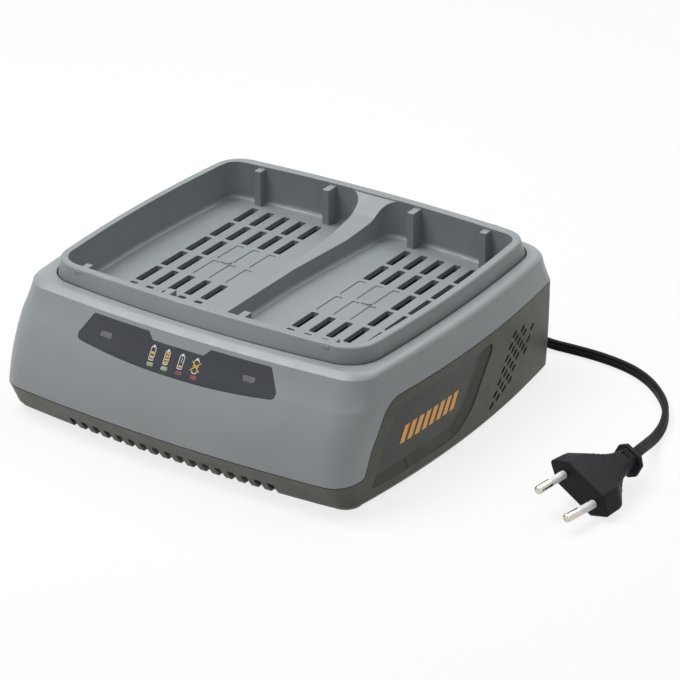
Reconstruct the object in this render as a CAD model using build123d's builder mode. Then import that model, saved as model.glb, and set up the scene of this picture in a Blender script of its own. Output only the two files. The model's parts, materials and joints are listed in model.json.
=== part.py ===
from build123d import *
from dataclasses import dataclass
import math
import os

os.makedirs("parts", exist_ok=True)

# Twin-bay battery charger. Millimetres. The front faces -Y, +Z is up, and the origin lies on the
# surface that the charger stands on, under the middle of its casing.

# ---------------------------------------------------------------------------------------------
# Driving dimensions
# ---------------------------------------------------------------------------------------------

# Casing
casing_width = 199.2
casing_depth = 185.0
foot_height = 1.5
band_top = 15.6          # top of the front band, where the fascia starts
shoulder_line = 46.9     # parting line along the sides and the rear
deck_top = 61.3          # flat deck round the bays
rim_top = 68.8           # top of the bay rims
wall = 2.5
seam = 0.3               # gap along the parting line
side_bow = 6.6
front_bow = 5.2
rear_bow = 2.0
sill_rise = 2.0          # height of the slanting edge round the underside
deck_edge_radius = 2.0
inner_edge_radius = 0.5

# Bays
rim_wall = 3.6
groove = 0.7             # dark gap between the deck and the rim
bay_floor = 49.7
bay_floor_thickness = 2.5
bay_foot_radius = 2.2
rim_edge_radius = 1.1
divider_half_width = 2.1
divider_rear_half_width = 7.4   # where its taper would pass behind the rear wall
divider_taper_start = 10.0
divider_top = 58.6
divider_saddle = 68.1    # height at which the divider meets the rear wall
saddle_reach = 16.0      # half the width over which the divider's top is shaped
flange_reach = 3.0       # how far the tray's flange reaches under the deck
flange_thickness = 2.0
tray_gap = 0.2           # between the flange's edge and the upper shell's wall
rib_width = 3.5
rib_reach = 7.3
rear_rib_spread = 39.5   # between the two rear ribs of a bay
front_rib_spread = 46.5  # between the two front ribs of a bay
slot_width = 4.0
slot_length = 17.0
slot_pitch = 9.2
slot_row_pitch = 19.36
slot_columns = 5
slot_rows = 6
blind_columns = 3
blind_rows = (2, 3)
blind_depth = 0.45
nub_length = 5.5
nub_width = 3.0
nub_height = 0.6

# Fascia window
window_top_half = 47.8
window_bottom_half = 54.2
window_top = 57.5
window_tip = 46.6        # height of its two outer points
window_bottom = 43.1
window_notch_half = 16.9
window_notch_drop = 3.0
window_notch_slope = 3.2
window_thickness = 1.4
window_gap = 0.15
status_pitch = 7.85
status_height = 45.7
status_light_width = 3.4
status_light_height = 1.5
bay_light_offset = 38.6
bay_light_height = 50.8
bay_light_width = 6.5
bay_light_thickness = 2.2

# Vents
slit_length = 4.3
slit_width = 1.9
slit_tilt = 31.0
slit_start = (47.2, 36.5)    # along Y and Z
slit_step = (-3.4, -4.62)    # along one diagonal row of slits
slit_row_step = (2.38, -2.72)   # from one row to the next
slit_rows = ((0, 6), (0, 5), (-1, 4), (-1, 3), (0, 0), (-2, 0))
notch_count = 17
notch_pitch = 6.79
notch_width = 3.4
notch_top = 7.3

# Side recesses
recess_depth = 2.2
recess_backing = 2.0
recess_lip = 0.35        # upright step round the recess before its slopes start
inlay_thickness = 0.6
inlay_gap = 0.45

# Screws and their towers
screw_radius = 1.5
screw_head_radius = 2.8
screw_head_height = 2.2
screw_grip = 11.0
tower_radius = 4.4
tower_seat = 3.0
well_radius = 3.1
front_screw_inset = (16.2, 26.4)   # from the overall width and depth
rear_screw_inset = (13.1, 9.5)
tray_screw_front = -45.0
tray_screw_rear = 70.0
small_screw_radius = 1.2
small_head_radius = 2.4
small_head_height = 1.6

# Feet
foot_radius = 7.0
foot_recess = 0.8
foot_gap = 0.15
front_foot_inset = (15.6, 23.0)
rear_foot_inset = (21.5, 21.0)

# Boards
board_width = 150.0
board_depth = 124.0
board_thickness = 1.6
board_standoff = 5.0
board_screw_inset = 6.0
standoff_radius = 3.5
display_width = 92.0
display_height = 15.0
display_bottom = 38.0
display_gap = 9.3        # from the tray's front wall to the board's front face
display_screw_offset = 24.0
display_screw_length = 6.0
lamp_size = 2.0
lamp_depth = 1.2

# Battery terminals
terminal_width = 38.0
terminal_depth = 8.0
terminal_height = 8.0
blade_count = 4
blade_pitch = 8.0
blade_thickness = 0.8
blade_depth = 4.0
blade_height = 4.5
blade_tail = 3.0
blade_gap = 0.1
clamp_gap = 0.1          # between the lead's cores and the clamp
clamp_thickness = 2.5
clamp_width = 6.0
clamp_length = 22.0
clamp_inset = 14.5       # from the overall depth to the clamp
clamp_screw_offset = 8.0
clamp_screw_length = 6.0
anvil_width = 10.0

# Cooling fan, its axis along X
fan_size = 40.0
fan_thickness = 10.0
fan_corner = 3.0
fan_y = 48.0
fan_bore_radius = 19.0
fan_hole_radius = 2.15
fan_hole_pitch = 32.0
fan_hub_radius = 9.0
hub_wall = 1.2
rotor_gap = 0.8          # between the rotor and both ends of the frame
blade_root = 0.6         # how deep a blade stands in the hub's wall
fan_tip_gap = 0.8
fan_blades = 7
blade_pitch_angle = 35.0
blade_chord = 7.4
fan_blade_thickness = 1.1
fan_shaft_radius = 1.0
shaft_clearance = 0.05
shaft_inset = 0.5        # from the frame's rear face
bearing_radius = 3.0
fan_strut_width = 2.4
fan_base = 1.5
stator_radius = 6.6
stator_height = 4.0
cradle_gap = 0.3
cradle_rib = 2.0
cradle_height = 12.0
fan_wall_gap = 3.0       # from the fan to the pads behind the side recesses

# Mains lead
cord_width = 5.2         # the flat lead's larger measure, upright where it lies
cord_thickness = 3.2
cord_exit_x = 57.0
cord_exit_height = 8.6
boot_width = 8.4
boot_height = 7.4
boot_gap = 0.15
boot_flange = 2.0
boot_corner = 1.4
boot_inset = 8.0         # from the overall depth to the boot's inner end
boot_lip = (4.0, 1.6)    # how much the flange is wider and higher than the boot
lead_radius = 1.2
lead_pitch = 3.0
fan_lead_radius = 0.6
cord_route = (
    (69.0, 106.2, 4.5), (81.5, 106.0, 2.7), (94.0, 107.0, 2.7), (106.2, 107.5, 2.7),
    (118.3, 106.6, 2.7), (129.8, 103.9, 2.7), (140.2, 98.7, 2.7), (149.6, 91.1, 2.7),
    (157.8, 82.2, 2.7), (163.7, 72.0, 2.7), (167.6, 61.4, 2.7), (169.8, 51.0, 3.4),
    (171.8, 41.0, 5.6), (174.2, 31.2, 8.6), (175.8, 23.6, 10.7), (176.6, 13.6, 11.0),
)

# Flat two-pin plug
plug_face = (171.2, -20.9, 11.0)   # middle of the face that the pins stand on
plug_heading = -98.9               # direction of the pins, in degrees from +X
plug_tilt = -25.9                  # roll about the pins' direction
plug_width = 35.3
plug_thickness = 13.7
plug_edge_radius = 0.8
plug_stations = (
    # distance behind the pin face; then half the width, thickness, flat and side of the section
    (0.0, plug_width / 2, plug_thickness / 2, 10.8, 0.6),
    (10.8, plug_width / 2 - 0.8, plug_thickness / 2, 10.4, 0.6),
    (13.0, 14.6, 6.8, 9.4, 1.4),
    (15.0, 12.3, 6.7, 8.2, 2.2),
    (18.0, 9.4, 6.6, 6.4, 3.0),
    (21.0, 7.3, 6.4, 5.0, 3.3),
    (25.0, 5.5, 6.2, 3.9, 3.4),
    (29.0, 4.6, 6.0, 3.3, 3.4),
    (34.0, 4.5, 5.9, 3.2, 3.4),
)
collar_start = 33.2
collar_length = 2.4
collar_section = (7.2, 6.75, 4.2, 3.2)   # half of its width, thickness, flat and side
pin_radius = 2.0
pin_tip_radius = 1.5
pin_length = 19.0
pin_spread = 18.6
pin_tip_spread = 17.5
sleeve_length = 10.0
sleeve_radius = 1.9
pin_core_radius = 1.55
pin_gap = 0.2            # between the plug's face and the pins


# ---------------------------------------------------------------------------------------------
# Shared values and helpers
# ---------------------------------------------------------------------------------------------

half_width = casing_width / 2
half_depth = casing_depth / 2
floor_top = foot_height + wall
deck_underside = deck_top - wall
tray_underside = bay_floor - bay_floor_thickness
board_bottom = floor_top + board_standoff
board_top = board_bottom + board_thickness
beyond = 10.0            # how far a cutting tool runs past what it cuts


@dataclass
class Outline:
    """Four bowed sides with rounded corners, seen from above."""

    half_width: float
    front: float
    rear: float
    side_bow: float
    front_bow: float
    rear_bow: float
    front_radius: float
    rear_radius: float


def outline_at(height, shape, inset=0.0):
    """The outline as a face at one height, with every side moved in by inset."""
    width = shape.half_width - inset
    front = shape.front + inset
    rear = shape.rear - inset
    corner = width - shape.side_bow
    middle = (front + rear) / 2
    with BuildSketch(Plane.XY.offset(height)) as face:
        with BuildLine():
            front_right, front_left = (corner, front + shape.front_bow), (-corner, front + shape.front_bow)
            rear_right, rear_left = (corner, rear - shape.rear_bow), (-corner, rear - shape.rear_bow)
            ThreePointArc(front_right, (0, front), front_left)
            ThreePointArc(front_left, (-width, middle), rear_left)
            ThreePointArc(rear_left, (0, rear), rear_right)
            ThreePointArc(rear_right, (width, middle), front_right)
        make_face()
        fillet(face.vertices().group_by(Axis.Y)[0], max(shape.front_radius - inset, 1.0))
        fillet(face.vertices().group_by(Axis.Y)[-1], max(shape.rear_radius - inset, 1.0))
    return face.sketch


def casing_level(side_inset, front_inset, rear_inset, front_radius, rear_radius, bow=side_bow):
    """An outline of the casing, given by how far it stands in from the overall size."""
    return Outline(
        half_width - side_inset, -half_depth + front_inset, half_depth - rear_inset,
        bow, front_bow, rear_bow, front_radius, rear_radius,
    )


base_level = casing_level(2.2, 8.9, 2.4, 7.0, 6.5)
sill_level = casing_level(0.8, 7.4, 0.9, 8.0, 7.0)
band_level = casing_level(0.5, 0.1, 0.2, 12.0, 7.2)
waist_level = casing_level(0.3, 3.3, 0.0, 14.5, 7.2)
shoulder_level = casing_level(0.0, 10.7, 0.0, 17.0, 8.5)
slope_level = casing_level(2.2, 15.3, 0.3, 16.0, 14.0, bow=5.2)
brow_level = casing_level(3.5, 17.9, 0.5, 14.5, 16.5, bow=4.5)
deck_level = casing_level(4.2, 19.8, 0.8, 14.0, 17.0, bow=4.3)

waist_height = (band_top + shoulder_line) / 2
slope_height = shoulder_line + (deck_top - shoulder_line) / 2


def casing_form(inset, bottom, drop, edge_radius):
    """The casing's closed form: its skin moved in by inset, its upper levels lowered by drop."""
    base = outline_at(bottom, base_level, inset)
    sill = outline_at(bottom + sill_rise, sill_level, inset)
    band = outline_at(band_top, band_level, inset)
    waist = outline_at(waist_height, waist_level, inset)
    shoulder = outline_at(shoulder_line, shoulder_level, inset)
    slope = outline_at(slope_height - drop, slope_level, inset)
    brow = outline_at(deck_top - deck_edge_radius - drop, brow_level, inset)
    # The deck's edge is a quarter round, given by its middle and its top
    round_share = 1 - math.sqrt(0.5)
    round_drop = edge_radius * round_share
    edge = outline_at(deck_top - drop - round_drop, deck_level, inset + round_drop)
    deck = outline_at(deck_top - drop, deck_level, inset + edge_radius)
    with BuildPart() as form:
        loft(sections=[base, sill], ruled=True)
        loft(sections=[sill, band], ruled=True)
        loft(sections=[band, waist, shoulder])
        loft(sections=[shoulder, slope, brow])
        loft(sections=[brow, edge, deck])
    return form.part


def side_zone(shift_y, shift_z, top):
    """Everything between the parting line, moved by the shifts, and the level top."""
    knee = -half_depth + 20.5
    points = (
        (-half_depth - beyond, band_top),
        (knee, band_top),
        (knee + 4.5, band_top + 11.0),
        (knee + 17.5, shoulder_line),
        (half_depth + beyond, shoulder_line),
    )
    with BuildPart() as zone:
        with BuildSketch(Plane.YZ) as profile:
            with BuildLine():
                moved_points = [(y + shift_y, z + shift_z) for y, z in points]
                edge = FilletPolyline(*moved_points, radius=(3.0, 25.0, 14.0))
                Polyline(edge @ 1, (half_depth + beyond, top), (-half_depth - beyond, top), edge @ 0)
            make_face()
        extrude(amount=half_width + beyond, both=True)
    return zone.part


casing = casing_form(0.0, foot_height, 0.0, deck_edge_radius)
cavity = casing_form(wall, floor_top, wall, inner_edge_radius)
lower_zone = side_zone(0.0, 0.0, -beyond)
upper_zone = side_zone(-seam, seam, deck_top + beyond)

# Tray outlines: the hole in the deck, the rim's crest and the bays' inner walls
deck_hole = Outline(half_width - 10.5, -half_depth + 25.6, half_depth - 4.4, 3.6, 5.7, 1.8, 17.1, 16.0)
rim_crest = Outline(
    deck_hole.half_width - 2.0, deck_hole.front + 4.2, deck_hole.rear - 1.6,
    3.7, 2.9, 4.5, 14.7, 14.0,
)
bay_wall = Outline(
    rim_crest.half_width - rim_wall, rim_crest.front + rim_wall - 0.4, rim_crest.rear - rim_wall - 1.3,
    3.4, 2.8, 4.3, 10.9, 8.0,
)
bay_middle_x = (divider_half_width + bay_wall.half_width) / 2 + 0.8
bay_middle_y = (bay_wall.front + bay_wall.rear) / 2 + 3.1

front_screws = [
    (side * (half_width - front_screw_inset[0]), -half_depth + front_screw_inset[1]) for side in (-1, 1)
]
rear_screws = [
    (side * (half_width - rear_screw_inset[0]), half_depth - rear_screw_inset[1]) for side in (-1, 1)
]
tray_screw_points = [(0, tray_screw_front), (0, tray_screw_rear)]
board_screw_points = [
    (x * (board_width / 2 - board_screw_inset), y * (board_depth / 2 - board_screw_inset))
    for x in (-1, 1) for y in (-1, 1)
]
foot_points = [
    (side * (half_width - front_foot_inset[0]), -half_depth + front_foot_inset[1]) for side in (-1, 1)
] + [
    (side * (half_width - rear_foot_inset[0]), half_depth - rear_foot_inset[1]) for side in (-1, 1)
]


def rods(points, start, end, radius):
    """Upright round rods at the points, from one height to another."""
    with BuildPart() as group:
        with BuildSketch(Plane.XY.offset(start)):
            with Locations(*points):
                Circle(radius)
        extrude(amount=end - start)
    return group.part


def screws(points, seat, upward, head_radius, head_height, shank_radius, shank_length):
    """Upright screws whose heads bear on the seat from the side that upward points away from."""
    with BuildPart() as group:
        with BuildSketch(Plane.XY.offset(seat)):
            with Locations(*points):
                Circle(head_radius)
        extrude(amount=-upward * head_height)
        with BuildSketch(Plane.XY.offset(seat)):
            with Locations(*points):
                Circle(shank_radius)
        extrude(amount=upward * shank_length)
        with BuildSketch(Plane.XY.offset(seat - upward * head_height)):
            with Locations(*points):
                RegularPolygon(head_radius * 0.55, 6)
        extrude(amount=upward * head_height * 0.6, mode=Mode.SUBTRACT)
    return group.part


def tube(radius, points, bends):
    """A round lead along straight runs with rounded corners."""
    with BuildPart() as lead:
        with BuildLine() as path:
            FilletPolyline(*points, radius=bends)
        with BuildSketch(Plane(origin=path.line @ 0, z_dir=path.line % 0)):
            Circle(radius)
        sweep(path=path.line)
    return lead.part


# ---------------------------------------------------------------------------------------------
# Casing shells
# ---------------------------------------------------------------------------------------------

# Recess in each side of the lower shell: its outline, drawn rearwards (Y) and up (Z)
recess_front = -half_depth + 25.0
recess_top = shoulder_line - 4.8
recess_bottom = foot_height + 6.3
recess_outer = (
    (recess_front, recess_bottom), (recess_front + 9.7, recess_bottom + 22.0),
    (recess_front + 19.5, recess_top), (recess_front + 96.0, recess_top),
    (recess_front + 76.5, recess_bottom + 7.7), (recess_front + 63.5, recess_bottom),
)
recess_radii = (1.2, 26.0, 12.0, 3.0, 16.0, 18.0)
# Its rear, corner and bottom edges slope in by these widths; the plate lies inside the slopes
slope_widths = (8.0, 6.5, 5.2)
plate_outline = (
    (recess_front + 2.7, recess_bottom + 5.4), (recess_front + 10.0, recess_bottom + 22.0),
    (recess_front + 19.7, recess_top - 0.15), (recess_front + 84.8, recess_top - 0.15),
    (recess_front + 68.2, recess_bottom + 10.9), (recess_front + 59.0, recess_bottom + 5.4),
)
plate_radii = (1.2, 26.0, 12.0, 2.0, 16.0, 14.0)


def recess_face(points, radii, side, x, grow=0.0):
    """One outline of a side recess, as a face at a distance x from the middle plane."""
    with BuildSketch(Plane.YZ.offset(side * x)) as face:
        with BuildLine():
            FilletPolyline(*points, close=True, radius=radii)
        make_face()
        if grow != 0.0:
            offset(amount=grow)
    return face.sketch


def side_skin(y, z):
    """Distance of the side's skin from the middle plane."""
    reach = y / (half_depth - front_bow)
    if z < band_top:
        share = (z - foot_height - sill_rise) / (band_top - foot_height - sill_rise)
        widest = sill_level.half_width + share * (band_level.half_width - sill_level.half_width)
    else:
        share = (z - band_top) / (shoulder_line - band_top)
        widest = band_level.half_width + share * (shoulder_level.half_width - band_level.half_width)
    return widest - side_bow * reach**2


def slope(side, start, end, width):
    """Sloping bank along one straight edge of the recess, from under the skin to its floor."""
    start_point = Vector(side * (side_skin(*start) - recess_lip), *start)
    end_point = Vector(side * (side_skin(*end) - recess_lip), *end)
    along = (end_point - start_point).normalized()
    outward = Vector(side, 0, 0)
    inward = along.cross(outward) * side
    plane = Plane(origin=start_point - along * width, x_dir=outward, z_dir=along)
    reach = plane.to_local_coords(plane.origin + inward)
    turn = 1 if reach.Y > 0 else -1
    with BuildPart() as bank:
        with BuildSketch(plane):
            with BuildLine():
                Polyline(
                    (0, 0), (-recess_depth, turn * width), (-2 * recess_depth, turn * width),
                    (-2 * recess_depth, -turn * width), (0, -turn * width), close=True,
                )
            make_face()
        extrude(amount=(end_point - start_point).length + 2 * width)
    return bank.part


def recess_tool(side):
    """Solid that cuts the recess: it follows the bowed side at recess_depth below the skin."""
    middle = ((recess_outer[5][0] + recess_outer[0][0]) / 2, recess_bottom)
    banks = [
        slope(side, recess_outer[3], recess_outer[4], slope_widths[0]),
        slope(side, recess_outer[4], recess_outer[5], slope_widths[1]),
        slope(side, recess_outer[5], middle, slope_widths[2]),
        slope(side, middle, recess_outer[0], slope_widths[2]),
    ]
    outer = recess_face(recess_outer, recess_radii, side, half_width - 2 * beyond)
    with BuildPart() as tool:
        extrude(to_extrude=outer, amount=side * 3 * beyond)
        add(casing.moved(Location((-side * recess_depth, 0, 0))), mode=Mode.SUBTRACT)
        for bank in banks:
            add(bank, mode=Mode.SUBTRACT)
    return tool.part


recess_tools = {side: recess_tool(side) for side in (-1, 1)}
pad_x = half_width - 4.2 - recess_depth - recess_backing

fan_x = pad_x - fan_wall_gap - fan_thickness
fan_z = floor_top + fan_size / 2

slit_points = []
for row, (first, last) in enumerate(slit_rows):
    for step in range(first, last + 1):
        y = slit_start[0] + step * slit_step[0] + row * slit_row_step[0]
        z = slit_start[1] + step * slit_step[1] + row * slit_row_step[1]
        slit_points.append((y, z))

clamp_y = half_depth - clamp_inset
clamp_points = [(cord_exit_x + side * clamp_screw_offset, clamp_y) for side in (-1, 1)]
clamp_bottom = cord_exit_height + lead_radius + clamp_gap

with BuildPart() as lower_shell:
    add(casing)
    add(lower_zone, mode=Mode.INTERSECT)
    add(cavity, mode=Mode.SUBTRACT)
    # Thicker wall behind each recess
    for side in (-1, 1):
        pad = recess_face(recess_outer, recess_radii, side, pad_x, grow=recess_backing)
        extrude(to_extrude=pad, amount=side * (half_width - pad_x + beyond))
    # Towers for the housing screws and the tray screws, stand-offs for the board
    add(rods(front_screws + rear_screws, floor_top, shoulder_line, tower_radius))
    add(rods(tray_screw_points, floor_top, tray_underside, tower_radius))
    add(rods(board_screw_points, floor_top, board_bottom, standoff_radius))
    # Anvil and posts of the cord clamp
    with BuildSketch(Plane.XY.offset(floor_top)):
        with Locations((cord_exit_x, clamp_y)):
            Rectangle(anvil_width, clamp_width)
    extrude(amount=cord_exit_height - lead_radius - clamp_gap - floor_top)
    add(rods(clamp_points, floor_top, clamp_bottom, small_head_radius))
    # Cradle ribs before and behind the fan
    with BuildSketch(Plane.XY.offset(floor_top)):
        for end in (-1, 1):
            rib_y = fan_y + end * (fan_size / 2 + cradle_gap + cradle_rib / 2)
            with Locations((fan_x + fan_thickness / 2, rib_y)):
                Rectangle(fan_thickness + 2 * (cradle_gap + cradle_rib), cradle_rib)
            for face_end in (-1, 1):
                lip_shift = fan_thickness / 2 + cradle_gap + cradle_rib / 2
                with Locations((fan_x + fan_thickness / 2 + face_end * lip_shift, rib_y - end * cradle_rib)):
                    Rectangle(cradle_rib, 3 * cradle_rib)
    extrude(amount=cradle_height)
    add(casing, mode=Mode.INTERSECT)
    # Recesses, slits and notches
    for side in (-1, 1):
        add(recess_tools[side], mode=Mode.SUBTRACT)
    for side in (-1, 1):
        with BuildSketch(Plane.YZ.offset(side * (pad_x - 1.0))):
            with Locations(*slit_points):
                SlotOverall(slit_length, slit_width, rotation=slit_tilt)
        extrude(amount=side * 3 * beyond, mode=Mode.SUBTRACT)
    with BuildSketch(Plane.XZ.offset(half_depth + beyond)):
        with GridLocations(notch_pitch, 1.0, notch_count, 1):
            with Locations((0, notch_top / 2)):
                Rectangle(notch_width, notch_top)
    extrude(amount=-(beyond + base_level.front + half_depth + 4.0), mode=Mode.SUBTRACT)
    # Screw wells, pilot holes, foot recesses and the hole for the boot
    bores = [
        (front_screws + rear_screws, -beyond, shoulder_line - tower_seat, well_radius),
        (front_screws + rear_screws, 0, deck_top, screw_radius),
        (tray_screw_points, -beyond, tray_underside - tower_seat, well_radius),
        (tray_screw_points, 0, deck_top, screw_radius),
        (board_screw_points, floor_top, deck_top, small_screw_radius),
        (clamp_points, floor_top, deck_top, small_screw_radius),
        (foot_points, -beyond, foot_height + foot_recess, foot_radius + foot_gap),
    ]
    for points, start, end, radius in bores:
        add(rods(points, start, end, radius), mode=Mode.SUBTRACT)
    with BuildSketch(Plane.XZ.offset(-half_depth - beyond)):
        with Locations((cord_exit_x, cord_exit_height)):
            RectangleRounded(boot_width + 2 * boot_gap, boot_height + 2 * boot_gap, boot_corner)
    extrude(amount=beyond + boot_inset + 1.0, mode=Mode.SUBTRACT)
lower_shell.part.label = "lower_shell"
export_step(lower_shell.part, "parts/lower_shell.step")


def window_prism(gap):
    """Prism through the fascia with the window's outline, drawn in by gap."""
    right_side = (
        (0, window_top - window_notch_drop),
        (window_notch_half - window_notch_slope, window_top - window_notch_drop),
        (window_notch_half, window_top),
        (window_top_half, window_top),
        (window_bottom_half + 0.8, window_tip - 0.5),
    )
    with BuildPart() as prism:
        with BuildSketch(Plane.XZ.offset(half_depth + beyond)) as face:
            with BuildLine():
                side_line = Polyline(*right_side)
                ThreePointArc(side_line @ 1, (30.0, window_bottom + 0.8), (0, window_bottom))
                mirror(about=Plane.YZ)
            make_face()
            fillet(face.vertices().sort_by(Axis.X)[0], 2.2)
            fillet(face.vertices().sort_by(Axis.X)[-1], 2.2)
            fillet(face.vertices().group_by(Axis.Y)[-1], 1.0)
            if gap > 0:
                offset(amount=-gap)
        extrude(amount=-(beyond + 30.0))
    return prism.part


def fascia_bars(points, width, height, end_y):
    """Small bars standing in the fascia, flush with its skin, which reach back to end_y."""
    with BuildPart() as bars:
        with BuildSketch(Plane.XZ.offset(-end_y)):
            with Locations(*points):
                RectangleRounded(width, height, min(width, height) * 0.3)
        extrude(amount=half_depth + beyond + end_y)
        add(casing, mode=Mode.INTERSECT)
    return bars.part


tray_front = bay_wall.front - wall
display_front = tray_front - display_gap
status_points = [((index - 1.5) * status_pitch, status_height) for index in range(4)]
bay_light_points = [(-bay_light_offset, bay_light_height), (bay_light_offset, bay_light_height)]
lamp_front = display_front - lamp_depth
display_screw_points = [(side * display_screw_offset, display_bottom + 4.0) for side in (-1, 1)]
window_cutter = window_prism(0.0)
window_body = window_prism(window_gap)
window_back = casing.moved(Location((0, window_thickness, 0)))

with BuildPart() as window_pocket:
    add(window_cutter)
    add(casing, mode=Mode.INTERSECT)
    add(window_back, mode=Mode.SUBTRACT)

light_holes = fascia_bars(
    status_points, status_light_width + 2 * window_gap, status_light_height + 2 * window_gap, display_front,
)
bay_light_holes = fascia_bars(
    bay_light_points, bay_light_width + 2 * window_gap, bay_light_thickness + 2 * window_gap, display_front,
)

with BuildPart() as upper_shell:
    add(casing)
    add(upper_zone, mode=Mode.INTERSECT)
    add(cavity, mode=Mode.SUBTRACT)
    # Bosses over the towers
    add(rods(front_screws + rear_screws, shoulder_line + seam, deck_underside + 0.5, tower_radius))
    add(casing, mode=Mode.INTERSECT)
    shank_room = rods(front_screws + rear_screws, shoulder_line, shoulder_line + screw_grip, screw_radius)
    add(shank_room, mode=Mode.SUBTRACT)
    # Posts that carry the display board
    with BuildSketch(Plane.XZ.offset(-display_front)):
        with Locations(*display_screw_points):
            Circle(standoff_radius)
    extrude(amount=half_depth + display_front)
    add(casing, mode=Mode.INTERSECT)
    with BuildSketch(Plane.XZ.offset(-display_front)):
        with Locations(*display_screw_points):
            Circle(small_screw_radius)
    extrude(amount=display_screw_length - board_thickness, mode=Mode.SUBTRACT)
    # Hole for the bays
    deck_cut = outline_at(deck_underside - 1.0, deck_hole)
    extrude(to_extrude=deck_cut, amount=wall + beyond, mode=Mode.SUBTRACT)
    # Pocket of the window and the light guides' holes
    add(window_pocket.part, mode=Mode.SUBTRACT)
    add(light_holes, mode=Mode.SUBTRACT)
    add(bay_light_holes, mode=Mode.SUBTRACT)
upper_shell.part.label = "upper_shell"
export_step(upper_shell.part, "parts/upper_shell.step")

with BuildPart() as indicator_lens:
    add(window_body)
    add(casing, mode=Mode.INTERSECT)
    add(window_back, mode=Mode.SUBTRACT)
    add(light_holes, mode=Mode.SUBTRACT)
    add(bay_light_holes, mode=Mode.SUBTRACT)
indicator_lens.part.label = "indicator_lens"
export_step(indicator_lens.part, "parts/indicator_lens.step")

status_light_guides = fascia_bars(status_points, status_light_width, status_light_height, lamp_front)
status_light_guides.label = "status_light_guides"
export_step(status_light_guides, "parts/status_light_guides.step")

bay_light_guides = fascia_bars(bay_light_points, bay_light_width, bay_light_thickness, lamp_front)
bay_light_guides.label = "bay_light_guides"
export_step(bay_light_guides, "parts/bay_light_guides.step")

for side, side_name in ((-1, "left"), (1, "right")):
    plate = recess_face(plate_outline, plate_radii, side, half_width - 2 * beyond, grow=-inlay_gap)
    with BuildPart() as side_inlay:
        extrude(to_extrude=plate, amount=side * 3 * beyond)
        add(casing.moved(Location((-side * (recess_depth - inlay_thickness), 0, 0))), mode=Mode.INTERSECT)
        add(casing.moved(Location((-side * recess_depth, 0, 0))), mode=Mode.SUBTRACT)
    side_inlay.part.label = f"side_inlay_{side_name}"
    export_step(side_inlay.part, f"parts/side_inlay_{side_name}.step")


# ---------------------------------------------------------------------------------------------
# Bay tray
# ---------------------------------------------------------------------------------------------

with BuildPart() as bay_room:
    with BuildSketch(Plane.XY.offset(bay_floor)) as bay_plan:
        add(outline_at(0, bay_wall))
        with BuildLine():
            Polyline(
                (0, bay_wall.front - beyond), (divider_half_width, bay_wall.front - beyond),
                (divider_half_width, divider_taper_start),
                (divider_rear_half_width, bay_wall.rear + beyond), (0, bay_wall.rear + beyond),
            )
            mirror(about=Plane.YZ)
        make_face(mode=Mode.SUBTRACT)
        fillet(bay_plan.vertices().filter_by(lambda v: abs(v.X) < 10).sort_by(Axis.Y)[:2], 6.0)
        fillet(bay_plan.vertices().filter_by(lambda v: abs(v.X) < 10).sort_by(Axis.Y)[-2:], 8.0)
    extrude(amount=rim_top - bay_floor + beyond)
    fillet(bay_room.faces().group_by(Axis.Z)[0].edges(), bay_foot_radius)

rib_points = []
for side in (-1, 1):
    for end in (-1, 1):
        rear_x = side * bay_middle_x + end * rear_rib_spread / 2
        front_x = side * bay_middle_x + end * front_rib_spread / 2
        rib_points.append((rear_x, bay_wall.rear - rib_reach / 2 + 2.0, rib_reach + 4.0))
        rib_points.append((front_x, bay_wall.front + rib_reach / 2 - 1.0, rib_reach + 2.0))

open_slots = []
blind_slots = []
for side in (-1, 1):
    for column in range(slot_columns):
        for row in range(slot_rows):
            x = side * (bay_middle_x + (column - (slot_columns - 1) / 2) * slot_pitch)
            y = bay_middle_y + ((slot_rows - 1) / 2 - row) * slot_row_pitch
            is_blind = row in blind_rows and column < blind_columns
            (blind_slots if is_blind else open_slots).append((x, y))

terminal_y = bay_wall.front + terminal_depth / 2 + 1.8
terminal_top = bay_floor + terminal_height
blade_offsets = [(index - (blade_count - 1) / 2) * blade_pitch for index in range(blade_count)]
blade_points = {
    side: [(side * bay_middle_x + shift, terminal_y) for shift in blade_offsets] for side in (-1, 1)
}

tray_space = casing_form(wall + tray_gap, floor_top, wall, inner_edge_radius)
with BuildPart() as tray_flange:
    flange_plan = outline_at(deck_underside - flange_thickness, deck_hole, inset=-flange_reach)
    extrude(to_extrude=flange_plan, amount=flange_thickness)
    add(tray_space, mode=Mode.INTERSECT)

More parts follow.
